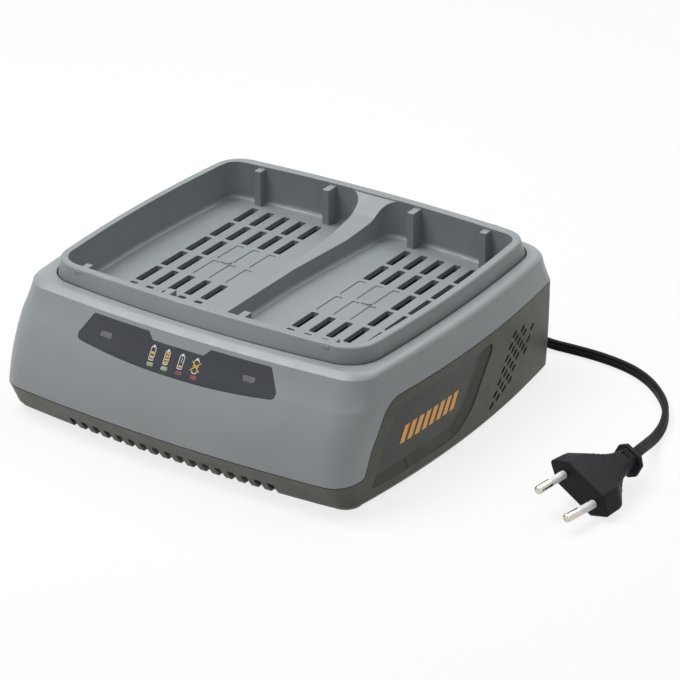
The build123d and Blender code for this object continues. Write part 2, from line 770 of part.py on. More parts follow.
with BuildPart() as bay_tray:
    tray_wall_plan = outline_at(tray_underside, bay_wall, inset=-wall)
    extrude(to_extrude=tray_wall_plan, amount=deck_top - tray_underside)
    add(tray_flange.part)
    rim_foot = outline_at(deck_underside, deck_hole, inset=groove)
    extrude(to_extrude=rim_foot, amount=wall)
    loft(sections=[outline_at(deck_top, deck_hole, inset=groove), outline_at(rim_top, rim_crest)], ruled=True)
    fillet(bay_tray.faces().sort_by(Axis.Z)[-1].edges(), rim_edge_radius)
    add(bay_room.part, mode=Mode.SUBTRACT)
    # The divider's top runs level, then climbs to the rear wall
    with BuildSketch(Plane.YZ.offset(-saddle_reach)):
        with BuildLine():
            saddle_y = bay_wall.rear - 0.4
            crest = FilletPolyline(
                (bay_wall.front, divider_top), (50.0, divider_top), (saddle_y - 12.0, divider_top + 2.3),
                (saddle_y, divider_saddle), (saddle_y + 0.1, rim_top + beyond), radius=(30.0, 12.0, 0.05),
            )
            Polyline(crest @ 1, (bay_wall.front, rim_top + beyond), crest @ 0)
        make_face()
    extrude(amount=2 * saddle_reach, mode=Mode.SUBTRACT)
    # Ribs in the end walls
    for x, y, length in rib_points:
        with BuildSketch(Plane.XY.offset(bay_floor - 1.0)):
            with Locations((x, y)):
                Rectangle(rib_width, length)
        extrude(amount=rim_top - bay_floor + 1.0 - rim_edge_radius)
    # Slots, blind slots and gate nubs
    with BuildSketch(Plane.XY.offset(bay_floor)):
        with Locations(*open_slots):
            RectangleRounded(slot_width, slot_length, 0.9)
    extrude(amount=-bay_floor_thickness, mode=Mode.SUBTRACT)
    with BuildSketch(Plane.XY.offset(bay_floor)):
        with Locations(*blind_slots):
            RectangleRounded(slot_width, slot_length, 0.9)
    extrude(amount=-blind_depth, mode=Mode.SUBTRACT)
    with BuildSketch(Plane.XY.offset(bay_floor)):
        for side in (-1, 1):
            with Locations((side * (bay_middle_x - slot_pitch / 2), bay_middle_y)):
                SlotOverall(nub_length, nub_width)
    extrude(amount=nub_height)
    # Openings for the terminal blades, pilot holes for the tray screws, room for the housing bosses
    with BuildSketch(Plane.XY.offset(bay_floor)):
        with Locations(*blade_points[-1], *blade_points[1]):
            Rectangle(blade_thickness + 2 * blade_gap, blade_depth + 2 * blade_gap)
    extrude(amount=-bay_floor_thickness, mode=Mode.SUBTRACT)
    pilot_top = tray_underside - tower_seat + screw_grip
    pilots = rods(tray_screw_points, tray_underside - 1.0, pilot_top, screw_radius)
    add(pilots, mode=Mode.SUBTRACT)
    boss_room = rods(front_screws + rear_screws, tray_underside, deck_underside, tower_radius + seam)
    add(boss_room, mode=Mode.SUBTRACT)
bay_tray.part.label = "bay_tray"
export_step(bay_tray.part, "parts/bay_tray.step")

for side, side_name in ((-1, "left"), (1, "right")):
    with BuildPart() as terminal_block:
        with BuildSketch(Plane.XY.offset(bay_floor)) as block_plan:
            with Locations((side * bay_middle_x, terminal_y + 0.3)):
                Rectangle(terminal_width, terminal_depth - 0.6)
        extrude(amount=terminal_height)
        chamfer(terminal_block.faces().sort_by(Axis.Z)[-1].edges(), 0.8)
        # The block clears the fillet at the wall's foot
        low_edges = terminal_block.edges().filter_by(Axis.X).group_by(Axis.Z)[0]
        chamfer(low_edges.sort_by(Axis.Y)[0], bay_foot_radius)
        with BuildSketch(Plane.XY.offset(bay_floor)):
            with Locations(*blade_points[side]):
                Rectangle(blade_thickness + 2 * blade_gap, blade_depth + 2 * blade_gap)
        extrude(amount=terminal_height, mode=Mode.SUBTRACT)
    terminal_block.part.label = f"terminal_block_{side_name}"
    export_step(terminal_block.part, f"parts/terminal_block_{side_name}.step")

    with BuildPart() as terminal_blades:
        with BuildSketch(Plane.XY.offset(tray_underside - blade_tail)):
            with Locations(*blade_points[side]):
                Rectangle(blade_thickness, blade_depth)
        extrude(amount=terminal_top + blade_height - tray_underside + blade_tail)
    terminal_blades.part.label = f"terminal_blades_{side_name}"
    export_step(terminal_blades.part, f"parts/terminal_blades_{side_name}.step")


# ---------------------------------------------------------------------------------------------
# Fasteners and feet
# ---------------------------------------------------------------------------------------------

housing_screws = screws(
    front_screws + rear_screws, shoulder_line - tower_seat, 1,
    screw_head_radius, screw_head_height, screw_radius, screw_grip,
)
housing_screws.label = "housing_screws"
export_step(housing_screws, "parts/housing_screws.step")

tray_screws = screws(
    tray_screw_points, tray_underside - tower_seat, 1,
    screw_head_radius, screw_head_height, screw_radius, screw_grip,
)
tray_screws.label = "tray_screws"
export_step(tray_screws, "parts/tray_screws.step")

board_screws = screws(
    board_screw_points, board_top, -1,
    small_head_radius, small_head_height, small_screw_radius, board_thickness + board_standoff,
)
board_screws.label = "board_screws"
export_step(board_screws, "parts/board_screws.step")

with BuildPart() as rubber_feet:
    with BuildSketch(Plane.XY):
        with Locations(*foot_points):
            Circle(foot_radius)
    extrude(amount=foot_height + foot_recess)
    fillet(rubber_feet.faces().group_by(Axis.Z)[0].edges(), 0.6)
rubber_feet.part.label = "rubber_feet"
export_step(rubber_feet.part, "parts/rubber_feet.step")


# ---------------------------------------------------------------------------------------------
# Boards and what stands on them
# ---------------------------------------------------------------------------------------------

with BuildPart() as main_board:
    with BuildSketch(Plane.XY.offset(board_bottom)):
        Rectangle(board_width, board_depth)
        with Locations(*board_screw_points):
            Circle(small_screw_radius, mode=Mode.SUBTRACT)
        with Locations((0, tray_screw_front)):
            Circle(tower_radius + seam, mode=Mode.SUBTRACT)
    extrude(amount=board_thickness)
main_board.part.label = "main_board"
export_step(main_board.part, "parts/main_board.step")

# Transformer: an E core with three legs, its coil wound round the middle one
core_width = 34.0
core_depth = 12.0
core_height = 28.0
core_leg = 6.0
window_width = 7.0
transformer_x = 12.0
transformer_y = 4.0
with BuildPart() as transformer_core:
    with BuildSketch(Plane.XZ.offset(-transformer_y - core_depth / 2)):
        with Locations((transformer_x, board_top + core_height / 2)):
            Rectangle(core_width, core_height)
            with GridLocations(core_width - 2 * core_leg - window_width, 1.0, 2, 1):
                Rectangle(window_width, core_height - 2 * core_leg, mode=Mode.SUBTRACT)
    extrude(amount=core_depth)
transformer_core.part.label = "transformer_core"
export_step(transformer_core.part, "parts/transformer_core.step")

coil_clearance = 0.3
leg_width = core_width - 2 * core_leg - 2 * window_width
with BuildPart() as transformer_coil:
    with BuildSketch(Plane.XY.offset(board_top + core_leg + coil_clearance)):
        with Locations((transformer_x, transformer_y)):
            RectangleRounded(
                core_width - 2 * (core_leg + coil_clearance),
                core_depth + 2 * (window_width - coil_clearance),
                3.0,
            )
            Rectangle(leg_width + 2 * coil_clearance, core_depth + 2 * coil_clearance, mode=Mode.SUBTRACT)
    extrude(amount=core_height - 2 * core_leg - 2 * coil_clearance)
transformer_coil.part.label = "transformer_coil"
export_step(transformer_coil.part, "parts/transformer_coil.step")

can_radius = 9.5
can_height = 30.0
can_place = (44.0, 2.0)
with BuildPart() as bulk_capacitor:
    with BuildSketch(Plane.XY.offset(board_top)):
        with Locations(can_place):
            Circle(can_radius)
    extrude(amount=can_height)
    fillet(bulk_capacitor.faces().group_by(Axis.Z)[-1].edges(), 1.0)
bulk_capacitor.part.label = "bulk_capacitor"
export_step(bulk_capacitor.part, "parts/bulk_capacitor.step")

output_can_radius = 5.0
output_can_height = 20.0
output_can_points = [(-34.0, 12.0), (-46.0, 12.0), (-34.0, 0.0), (-46.0, 0.0)]
with BuildPart() as output_capacitors:
    with BuildSketch(Plane.XY.offset(board_top)):
        with Locations(*output_can_points):
            Circle(output_can_radius)
    extrude(amount=output_can_height)
    fillet(output_capacitors.faces().group_by(Axis.Z)[-1].edges(), 0.7)
output_capacitors.part.label = "output_capacitors"
export_step(output_capacitors.part, "parts/output_capacitors.step")

choke_radius = 6.5
choke_wire_radius = 3.2
choke_width = 2 * (choke_radius + choke_wire_radius)
choke_base = 1.5         # thickness of its carrier
choke_sink = 1.0         # height of the coil's underside above the board
choke_points = {"filter_choke": (50.0, 30.0), "output_choke": (-40.0, -20.0)}
for choke_name, (x, y) in choke_points.items():
    with BuildPart() as choke:
        with BuildSketch(Plane.XY.offset(board_top)):
            with Locations((x, y)):
                RectangleRounded(choke_width, choke_width, 2.0)
        extrude(amount=choke_base)
        with Locations((x, y, board_top + choke_sink + choke_wire_radius)):
            Torus(choke_radius, choke_wire_radius)
    choke.part.label = choke_name
    export_step(choke.part, f"parts/{choke_name}.step")

line_capacitor_place = (20.0, 34.0)
line_capacitor_size = (18.0, 8.5, 15.0)
with BuildPart() as line_capacitor:
    with BuildSketch(Plane.XY.offset(board_top)):
        with Locations(line_capacitor_place):
            RectangleRounded(line_capacitor_size[0], line_capacitor_size[1], 1.0)
    extrude(amount=line_capacitor_size[2])
    fillet(line_capacitor.faces().sort_by(Axis.Z)[-1].edges(), 0.8)
line_capacitor.part.label = "line_capacitor"
export_step(line_capacitor.part, "parts/line_capacitor.step")

# Fuse: a round body lying in two clips
fuse_x = 24.0
fuse_y = 50.0
fuse_length = 20.0
fuse_radius = 2.6
fuse_axis = board_top + 4.2
clip_wall = 0.6
clip_width = 5.0
with BuildPart() as mains_fuse:
    with BuildSketch(Plane.YZ.offset(fuse_x - fuse_length / 2)):
        with Locations((fuse_y, fuse_axis)):
            Circle(fuse_radius)
    extrude(amount=fuse_length)
mains_fuse.part.label = "mains_fuse"
export_step(mains_fuse.part, "parts/mains_fuse.step")

with BuildPart() as fuse_clips:
    for end in (-1, 1):
        with BuildSketch(Plane.YZ.offset(fuse_x + end * (fuse_length - clip_width) / 2 - clip_width / 2)):
            with Locations((fuse_y, (board_top + fuse_axis) / 2)):
                Rectangle(2 * (fuse_radius + clip_wall), fuse_axis - board_top)
            with Locations((fuse_y, fuse_axis)):
                Circle(fuse_radius, mode=Mode.SUBTRACT)
        extrude(amount=clip_width)
fuse_clips.part.label = "fuse_clips"
export_step(fuse_clips.part, "parts/fuse_clips.step")

# Heat sinks: an upright plate with fins on its rear face and transistors on its front face
sink_thickness = 3.0
sink_height = 24.0
sink_fin = 1.5
sink_fin_reach = 7.0
sink_fin_pitch = 6.0
sinks = {"primary_heat_sink": (30.0, -28.0, 42.0, 2), "secondary_heat_sink": (-56.0, 34.0, 30.0, 1)}
package_width = 10.0
package_depth = 4.4
package_height = 15.0
package_lift = 3.0
transistor_places = []
for sink_name, (x, y, width, packages) in sinks.items():
    with BuildPart() as heat_sink:
        with BuildSketch(Plane.XY.offset(board_top)):
            with Locations((x, y)):
                Rectangle(width, sink_thickness)
            with Locations((x, y + sink_thickness / 2 + sink_fin_reach / 2)):
                with GridLocations(sink_fin_pitch, 1.0, int(width / sink_fin_pitch), 1):
                    Rectangle(sink_fin, sink_fin_reach + 0.2)
        extrude(amount=sink_height)
    heat_sink.part.label = sink_name
    export_step(heat_sink.part, f"parts/{sink_name}.step")
    for index in range(packages):
        package_x = x + (index - (packages - 1) / 2) * width / 2
        transistor_places.append((package_x, y - sink_thickness / 2 - package_depth / 2))

leg_radius = 0.45
leg_pitch = 2.54
with BuildPart() as power_transistors:
    with BuildSketch(Plane.XY.offset(board_top + package_lift)):
        with Locations(*transistor_places):
            Rectangle(package_width, package_depth)
    extrude(amount=package_height)
    with BuildSketch(Plane.XY.offset(board_top)):
        with Locations(*[(x + leg * leg_pitch, y) for x, y in transistor_places for leg in (-1, 0, 1)]):
            Circle(leg_radius)
    extrude(amount=package_lift)
power_transistors.part.label = "power_transistors"
export_step(power_transistors.part, "parts/power_transistors.step")

chip_place = (-20.0, -36.0)
chip_size = (10.0, 7.0, 2.5)
with BuildPart() as control_chip:
    with BuildSketch(Plane.XY.offset(board_top)):
        with Locations(chip_place):
            Rectangle(chip_size[0], chip_size[1])
    extrude(amount=chip_size[2])
    chamfer(control_chip.faces().sort_by(Axis.Z)[-1].edges(), 0.4)
control_chip.part.label = "control_chip"
export_step(control_chip.part, "parts/control_chip.step")

# Sockets along the board's edges where the leads end
socket_size = (10.0, 6.0, 8.0)
mains_socket = (cord_exit_x, board_depth / 2 - 12.0)
fan_socket = (board_width / 2 - 9.0, fan_y - 12.0)
bay_sockets = {side: (side * bay_middle_x, -board_depth / 2 + 5.0) for side in (-1, 1)}
with BuildPart() as lead_sockets:
    with BuildSketch(Plane.XY.offset(board_top)):
        with Locations(mains_socket, fan_socket, bay_sockets[-1], bay_sockets[1]):
            Rectangle(socket_size[0], socket_size[1])
    extrude(amount=socket_size[2])
lead_sockets.part.label = "lead_sockets"
export_step(lead_sockets.part, "parts/lead_sockets.step")

# Display board behind the fascia window, with its lamps
with BuildPart() as display_board:
    with BuildSketch(Plane.XZ.offset(-display_front)):
        with Locations((0, display_bottom + display_height / 2)):
            Rectangle(display_width, display_height)
        with Locations(*display_screw_points):
            Circle(small_screw_radius, mode=Mode.SUBTRACT)
    extrude(amount=-board_thickness)
display_board.part.label = "display_board"
export_step(display_board.part, "parts/display_board.step")

with BuildPart() as display_screws:
    with BuildSketch(Plane.XZ.offset(-display_front - board_thickness)):
        with Locations(*display_screw_points):
            Circle(small_screw_radius)
    extrude(amount=display_screw_length)
    with BuildSketch(Plane.XZ.offset(-display_front - board_thickness)):
        with Locations(*display_screw_points):
            Circle(small_head_radius)
    extrude(amount=-small_head_height)
display_screws.part.label = "display_screws"
export_step(display_screws.part, "parts/display_screws.step")

with BuildPart() as indicator_lamps:
    with BuildSketch(Plane.XZ.offset(-display_front)):
        with Locations(*status_points, *bay_light_points):
            Rectangle(lamp_size, lamp_size * 0.7)
    extrude(amount=lamp_depth)
indicator_lamps.part.label = "indicator_lamps"
export_step(indicator_lamps.part, "parts/indicator_lamps.step")


# ---------------------------------------------------------------------------------------------
# Cooling fan
# ---------------------------------------------------------------------------------------------

fan_back = Plane.YZ.offset(fan_x)
rotor_start = fan_x + fan_base + rotor_gap
rotor_end = fan_x + fan_thickness - rotor_gap
fan_corners = [
    (fan_y + a * fan_hole_pitch / 2, fan_z + b * fan_hole_pitch / 2) for a in (-1, 1) for b in (-1, 1)
]

with BuildPart() as fan_frame:
    with BuildSketch(fan_back):
        with Locations((fan_y, fan_z)):
            RectangleRounded(fan_size, fan_size, fan_corner)
            Circle(fan_bore_radius, mode=Mode.SUBTRACT)
        with Locations(*fan_corners):
            Circle(fan_hole_radius, mode=Mode.SUBTRACT)
    extrude(amount=fan_thickness)
    # Hub plate on struts, with the bearing tube
    with BuildSketch(fan_back):
        with Locations((fan_y, fan_z)):
            Circle(fan_hub_radius)
            with PolarLocations((fan_hub_radius + fan_bore_radius) / 2, 3):
                Rectangle(fan_bore_radius - fan_hub_radius + 2.0, fan_strut_width)
    extrude(amount=fan_base)
    with BuildSketch(fan_back):
        with Locations((fan_y, fan_z)):
            Circle(bearing_radius)
    extrude(amount=fan_thickness - 3.0)
    with BuildSketch(fan_back):
        with Locations((fan_y, fan_z)):
            Circle(fan_shaft_radius + shaft_clearance)
    extrude(amount=fan_thickness, mode=Mode.SUBTRACT)
fan_frame.part.label = "fan_frame"
export_step(fan_frame.part, "parts/fan_frame.step")

with BuildPart() as fan_stator:
    with BuildSketch(Plane.YZ.offset(fan_x + fan_base)):
        with Locations((fan_y, fan_z)):
            Circle(stator_radius)
            Circle(bearing_radius, mode=Mode.SUBTRACT)
    extrude(amount=stator_height)
fan_stator.part.label = "fan_stator"
export_step(fan_stator.part, "parts/fan_stator.step")

with BuildPart() as fan_rotor:
    with BuildSketch(Plane.YZ.offset(rotor_start)):
        with Locations((fan_y, fan_z)):
            Circle(fan_hub_radius)
            Circle(fan_hub_radius - hub_wall, mode=Mode.SUBTRACT)
    extrude(amount=rotor_end - rotor_start)
    with BuildSketch(Plane.YZ.offset(rotor_end - hub_wall)):
        with Locations((fan_y, fan_z)):
            Circle(fan_hub_radius)
            Circle(fan_shaft_radius, mode=Mode.SUBTRACT)
    extrude(amount=hub_wall)
    for index in range(fan_blades):
        turn = math.radians(index * 360 / fan_blades)
        outward = Vector(0, math.cos(turn), math.sin(turn))
        around = Vector(0, -math.sin(turn), math.cos(turn))
        pitch = math.radians(blade_pitch_angle)
        chord = Vector(1, 0, 0) * math.cos(pitch) + around * math.sin(pitch)
        root = Vector((rotor_start + rotor_end) / 2, fan_y, fan_z) + outward * (fan_hub_radius - blade_root)
        with BuildSketch(Plane(origin=root, x_dir=chord, z_dir=outward)):
            Rectangle(blade_chord, fan_blade_thickness)
        extrude(amount=fan_bore_radius - fan_tip_gap - fan_hub_radius + blade_root)
fan_rotor.part.label = "fan_rotor"
export_step(fan_rotor.part, "parts/fan_rotor.step")

with BuildPart() as fan_shaft:
    with BuildSketch(Plane.YZ.offset(fan_x + shaft_inset)):
        with Locations((fan_y, fan_z)):
            Circle(fan_shaft_radius)
    extrude(amount=rotor_end - fan_x - shaft_inset)
print("fan axis", round(fan_x + fan_thickness / 2, 3), round(fan_y, 3), round(fan_z, 3))
fan_shaft.part.label = "fan_shaft"
export_step(fan_shaft.part, "parts/fan_shaft.step")


# ---------------------------------------------------------------------------------------------
# Mains lead, its boot, clamp and plug
# ---------------------------------------------------------------------------------------------

boot_start = half_depth - boot_inset
boot_end = Vector(*cord_route[0])
boot_end_heading = Vector(*cord_route[1]) - boot_end
boot_stations = (
    # place along X, Y, Z; heading; width and height of the section
    (Vector(cord_exit_x, half_depth - 1.0, cord_exit_height), Vector(0, 1, 0), boot_width, boot_height),
    (Vector(cord_exit_x + 1.7, half_depth + 5.3, cord_exit_height - 0.8), Vector(0.45, 0.9, -0.15), 7.4, 6.9),
    (Vector(cord_exit_x + 6.0, half_depth + 11.2, cord_exit_height - 2.4), Vector(0.8, 0.56, -0.2), 6.3, 6.5),
    (boot_end, boot_end_heading, cord_thickness + 1.4, cord_width + 1.0),
)


def boot_section(place, heading, width, height):
    """Rounded section of the boot, upright and square to its heading."""
    sideways = heading.cross(Vector(0, 0, 1))
    with BuildSketch(Plane(origin=place, x_dir=sideways, z_dir=heading)) as section:
        RectangleRounded(width, height, boot_corner)
    return section.sketch


boot_sections = [boot_section(*station) for station in boot_stations]
with BuildPart() as strain_relief:
    with BuildSketch(Plane.XZ.offset(-boot_start)):
        with Locations((cord_exit_x, cord_exit_height)):
            RectangleRounded(boot_width, boot_height, boot_corner)
    extrude(amount=-(half_depth - 1.0 - boot_start))
    with BuildSketch(Plane.XZ.offset(-boot_start)):
        with Locations((cord_exit_x, cord_exit_height)):
            RectangleRounded(boot_width + boot_lip[0], boot_height + boot_lip[1], boot_corner)
    extrude(amount=-boot_flange)
    loft(sections=boot_sections)
strain_relief.part.label = "strain_relief"
export_step(strain_relief.part, "parts/strain_relief.step")

with BuildPart() as cord_clamp:
    with BuildSketch(Plane.XY.offset(clamp_bottom)):
        with Locations((cord_exit_x, clamp_y)):
            RectangleRounded(clamp_length, clamp_width, clamp_width * 0.4)
        with Locations(*clamp_points):
            Circle(small_screw_radius, mode=Mode.SUBTRACT)
    extrude(amount=clamp_thickness)
cord_clamp.part.label = "cord_clamp"
export_step(cord_clamp.part, "parts/cord_clamp.step")

clamp_screws = screws(
    clamp_points, clamp_bottom + clamp_thickness, -1,
    small_head_radius, small_head_height, small_screw_radius, clamp_screw_length,
)
clamp_screws.label = "clamp_screws"
export_step(clamp_screws, "parts/clamp_screws.step")


def bend_radii(points, share=0.45):
    """For each corner of a route, the radius that takes a share of its shorter run."""
    radii = []
    for before, corner, after in zip(points, points[1:], points[2:]):
        into = Vector(*corner) - Vector(*before)
        out = Vector(*after) - Vector(*corner)
        half_turn = math.radians(into.get_angle(out)) / 2
        radii.append(share * min(into.length, out.length) / math.tan(half_turn))
    return radii


cord_radii = bend_radii(cord_route)
with BuildPart() as mains_cord:
    with BuildLine() as cord_path:
        FilletPolyline(*cord_route, radius=cord_radii)
    with BuildSketch(Plane(origin=cord_path.line @ 0, x_dir=(0, 0, 1), z_dir=cord_path.line % 0)):
        SlotOverall(cord_width, cord_thickness)
    sweep(path=cord_path.wires()[0])
mains_cord.part.label = "mains_cord"
export_step(mains_cord.part, "parts/mains_cord.step")

section_area = (cord_width - cord_thickness) * cord_thickness + math.pi * cord_thickness**2 / 4
cord_length = sum(edge.length for edge in cord_path.edges())
print("cord length", round(cord_length, 1), "radii", [round(radius) for radius in cord_radii])
print("cord volume", round(mains_cord.part.volume), "section x length", round(section_area * cord_length))

heading = Vector(1, 0, 0).rotate(Axis.Z, plug_heading)
across = heading.cross(Vector(0, 0, 1)).rotate(Axis(origin=(0, 0, 0), direction=heading), plug_tilt)
plug_plane = Plane(origin=plug_face, x_dir=across, z_dir=-heading)


def plug_section(distance, half_width, half_thickness, half_flat, half_side):
    """Eight-sided section of the plug at a distance behind its pin face."""
    quarter = (
        (half_width, half_side), (half_flat, half_thickness),
        (-half_flat, half_thickness), (-half_width, half_side),
    )
    outline = [*quarter, *((-x, -y) for x, y in quarter)]
    with BuildSketch(plug_plane.offset(distance)) as section:
        with BuildLine():
            Polyline(*outline, close=True)
        make_face()
        fillet(section.vertices(), min(plug_edge_radius, half_side * 0.8))
    return section.sketch


pin_lean = math.degrees(math.atan((pin_spread - pin_tip_spread) / 2 / pin_length))
pin_planes = {}
for side in (-1, 1):
    direction = Vector(-side * math.sin(math.radians(pin_lean)), 0, -math.cos(math.radians(pin_lean)))
    base = plug_plane.from_local_coords(Vector(side * pin_spread / 2, 0, 0))
    tip = plug_plane.from_local_coords(Vector(side * pin_spread / 2, 0, 0) + direction)
    pin_planes[side] = Plane(origin=base, z_dir=tip - base)

with BuildPart() as plug_body:
    loft(sections=[plug_section(*station) for station in plug_stations], ruled=True)
    extrude(plug_section(collar_start, *collar_section), amount=collar_length)
plug_body.part.label = "plug_body"
export_step(plug_body.part, "parts/plug_body.step")

with BuildPart() as pin_sleeves:
    for side in (-1, 1):
        with BuildSketch(pin_planes[side].offset(pin_gap)):
            Circle(sleeve_radius)
            Circle(pin_core_radius, mode=Mode.SUBTRACT)
        extrude(amount=sleeve_length)
pin_sleeves.part.label = "pin_sleeves"
export_step(pin_sleeves.part, "parts/pin_sleeves.step")

with BuildPart() as plug_pins:
    for side in (-1, 1):
        with BuildPart() as pin:
            with BuildSketch(pin_planes[side].offset(pin_gap)):
                Circle(pin_core_radius)
            extrude(amount=sleeve_length)
            with BuildSketch(pin_planes[side].offset(pin_gap + sleeve_length)):
                Circle(pin_radius)
            extrude(amount=pin_length - sleeve_length - pin_gap)
            outward = Axis(pin_planes[side].origin, pin_planes[side].z_dir)
            fillet(pin.faces().sort_by(outward)[-1].edges(), pin_tip_radius)
        add(pin.part)
plug_pins.part.label = "plug_pins"
export_step(plug_pins.part, "parts/plug_pins.step")


# ---------------------------------------------------------------------------------------------
# Leads inside the casing
# ---------------------------------------------------------------------------------------------

socket_y = mains_socket[1] + socket_size[1] / 2
with BuildPart() as mains_leads:
    for side in (-1, 1):
        x = cord_exit_x + side * lead_pitch / 2
        add(tube(lead_radius, (
            (x, boot_start, cord_exit_height), (x, clamp_y - 4.0, cord_exit_height),
            (x, clamp_y - 9.0, board_top + 5.0), (x, socket_y, board_top + 5.0),
        ), 3.0))
mains_leads.part.label = "mains_leads"
export_step(mains_leads.part, "parts/mains_leads.step")

for side, side_name in ((-1, "left"), (1, "right")):
    with BuildPart() as bay_leads:
        for end in (-1, 1):
            blade_x, blade_y = blade_points[side][1 if end < 0 else 2]
            blade_x += end * blade_pitch
            lead_x = bay_sockets[side][0] + end * 2.5
            lead_y = bay_sockets[side][1]
            add(tube(lead_radius, (
                (lead_x, lead_y, board_top + socket_size[2]), (lead_x, lead_y, board_top + 18.0),
                (blade_x, blade_y, tray_underside - 14.0), (blade_x, blade_y, tray_underside - blade_tail),
            ), 4.0))
    bay_leads.part.label = f"bay_leads_{side_name}"
    export_step(bay_leads.part, f"parts/bay_leads_{side_name}.step")

with BuildPart() as fan_leads:
    for end in (-1, 1):
        lead_x = fan_socket[0] + socket_size[0] / 2
        lead_y = fan_socket[1] + end * 1.8
        add(tube(fan_lead_radius, (
            (lead_x, lead_y, board_top + 5.0), (lead_x + 3.0, lead_y, board_top + 5.0),
            (lead_x + 4.5, lead_y + 5.0, board_top + 8.0), (fan_x, lead_y + 5.0, board_top + 8.0),
        ), 1.2))
fan_leads.part.label = "fan_leads"
export_step(fan_leads.part, "parts/fan_leads.step")

with BuildPart() as display_leads:
    for end in (-1, 1):
        lead_x = end * 3.0
        lead_y = display_front + board_thickness
        board_edge = -board_depth / 2 + 3.0
        add(tube(fan_lead_radius, (
            (lead_x, lead_y, display_bottom + 3.0), (lead_x, lead_y + 5.0, display_bottom + 3.0),
            (lead_x, board_edge, display_bottom - 8.0), (lead_x, board_edge, board_top),
        ), 3.0))
display_leads.part.label = "display_leads"
export_step(display_leads.part, "parts/display_leads.step")
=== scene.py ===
"""Dresses the twin-bay charger: camera, lights, materials, lead, plug, icons and stripes.

Sizes are in millimetres until a mesh is made, and metres from there on. The frame is the CAD's.
"""

import json
import math
import sys

import bmesh
import bpy
from mathutils import Matrix, Vector


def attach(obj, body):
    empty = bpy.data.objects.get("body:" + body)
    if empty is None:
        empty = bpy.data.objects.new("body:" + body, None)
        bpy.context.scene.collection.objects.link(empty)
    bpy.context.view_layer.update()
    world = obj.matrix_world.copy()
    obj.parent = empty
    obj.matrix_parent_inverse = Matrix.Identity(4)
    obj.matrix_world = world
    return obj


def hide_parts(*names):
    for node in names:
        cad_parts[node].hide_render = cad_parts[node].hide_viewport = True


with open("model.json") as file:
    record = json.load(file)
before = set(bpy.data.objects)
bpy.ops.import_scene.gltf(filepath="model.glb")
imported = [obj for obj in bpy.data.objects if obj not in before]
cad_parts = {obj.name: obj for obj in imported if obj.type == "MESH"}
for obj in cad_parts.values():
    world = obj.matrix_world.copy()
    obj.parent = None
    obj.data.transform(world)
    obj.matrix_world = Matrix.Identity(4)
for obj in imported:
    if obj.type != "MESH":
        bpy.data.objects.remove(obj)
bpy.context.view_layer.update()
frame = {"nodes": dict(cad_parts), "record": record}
nodes = frame["nodes"]
MM = 0.001

# --------------------------------------------------------------------------------------------
# Camera
# --------------------------------------------------------------------------------------------

CAMERA_PLACE = (0.75257, -1.07953, 0.69093)
CAMERA_AZIMUTH = math.radians(33.652)
CAMERA_ELEVATION = math.radians(26.809)
CAMERA_LENS = 169.9
SENSOR = 36.0

camera_data = bpy.data.cameras.new("camera")
camera_data.sensor_fit = "HORIZONTAL"
camera_data.sensor_width = SENSOR
camera_data.lens = CAMERA_LENS
camera_data.clip_end = 20.0
camera = bpy.data.objects.new("camera", camera_data)
camera.location = CAMERA_PLACE
forward = Vector((
    -math.sin(CAMERA_AZIMUTH) * math.cos(CAMERA_ELEVATION),
    math.cos(CAMERA_AZIMUTH) * math.cos(CAMERA_ELEVATION),
    -math.sin(CAMERA_ELEVATION),
))
camera.rotation_euler = forward.to_track_quat("-Z", "Y").to_euler()
bpy.context.scene.collection.objects.link(camera)
bpy.context.scene.camera = camera


# --------------------------------------------------------------------------------------------
# Mesh helpers
# --------------------------------------------------------------------------------------------

def mesh_object(name, points, faces):
    """A closed mesh object from points in millimetres, its faces turned outward."""
    mesh = bpy.data.meshes.new(name)
    mesh.from_pydata([Vector(p) * MM for p in points], [], faces)
    work = bmesh.new()
    work.from_mesh(mesh)
    bmesh.ops.recalc_face_normals(work, faces=work.faces)
    work.to_mesh(mesh)
    work.free()
    item = bpy.data.objects.new(name, mesh)
    bpy.context.scene.collection.objects.link(item)
    return item


def shade(piece, smooth):
    piece.data.polygons.foreach_set("use_smooth", [smooth] * len(piece.data.polygons))


def make_piece(name, points, faces, material, slot, smooth=True):
    """A finished piece of the casing's body, from points in millimetres."""
    piece = mesh_object(name, points, faces)
    shade(piece, smooth)
    piece.data.materials.append(material)
    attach(piece, "casing")
    return piece


def loft(rings):
    """Points and faces of a skin over rings of equal count, with its two ends capped."""
    count = len(rings[0])
    points = [p for ring in rings for p in ring]
    faces = []
    for i in range(len(rings) - 1):
        for j in range(count):
            k = (j + 1) % count
            faces.append((i * count + j, i * count + k, (i + 1) * count + k, (i + 1) * count + j))
    faces.append(tuple(range(count)))
    faces.append(tuple(len(points) - count + j for j in range(count)))
    return points, faces


def join_parts(*parts):
    """Several (points, faces) as one."""
    points, faces = [], []
    for some_points, some_faces in parts:
        shift = len(points)
        points += some_points
        faces += [tuple(i + shift for i in face) for face in some_faces]
    return points, faces


def rounded_polygon(corners, radius, steps=4):
    """A flat outline with every corner rounded."""
    outline = []
    for i, corner in enumerate(corners):
        here = Vector(corner)
        back = (Vector(corners[i - 1]) - here).normalized()
        on = (Vector(corners[(i + 1) % len(corners)]) - here).normalized()
        half = back.angle(on) / 2
        trim = radius / math.tan(half)
        centre = here + (back + on).normalized() * (radius / math.sin(half))
        first = here + back * trim - centre
        last = here + on * trim - centre
        turn = first.angle_signed(last)
        for step in range(steps + 1):
            swung = Matrix.Rotation(-turn * step / steps, 2) @ first
            outline.append(centre + swung)
    return outline


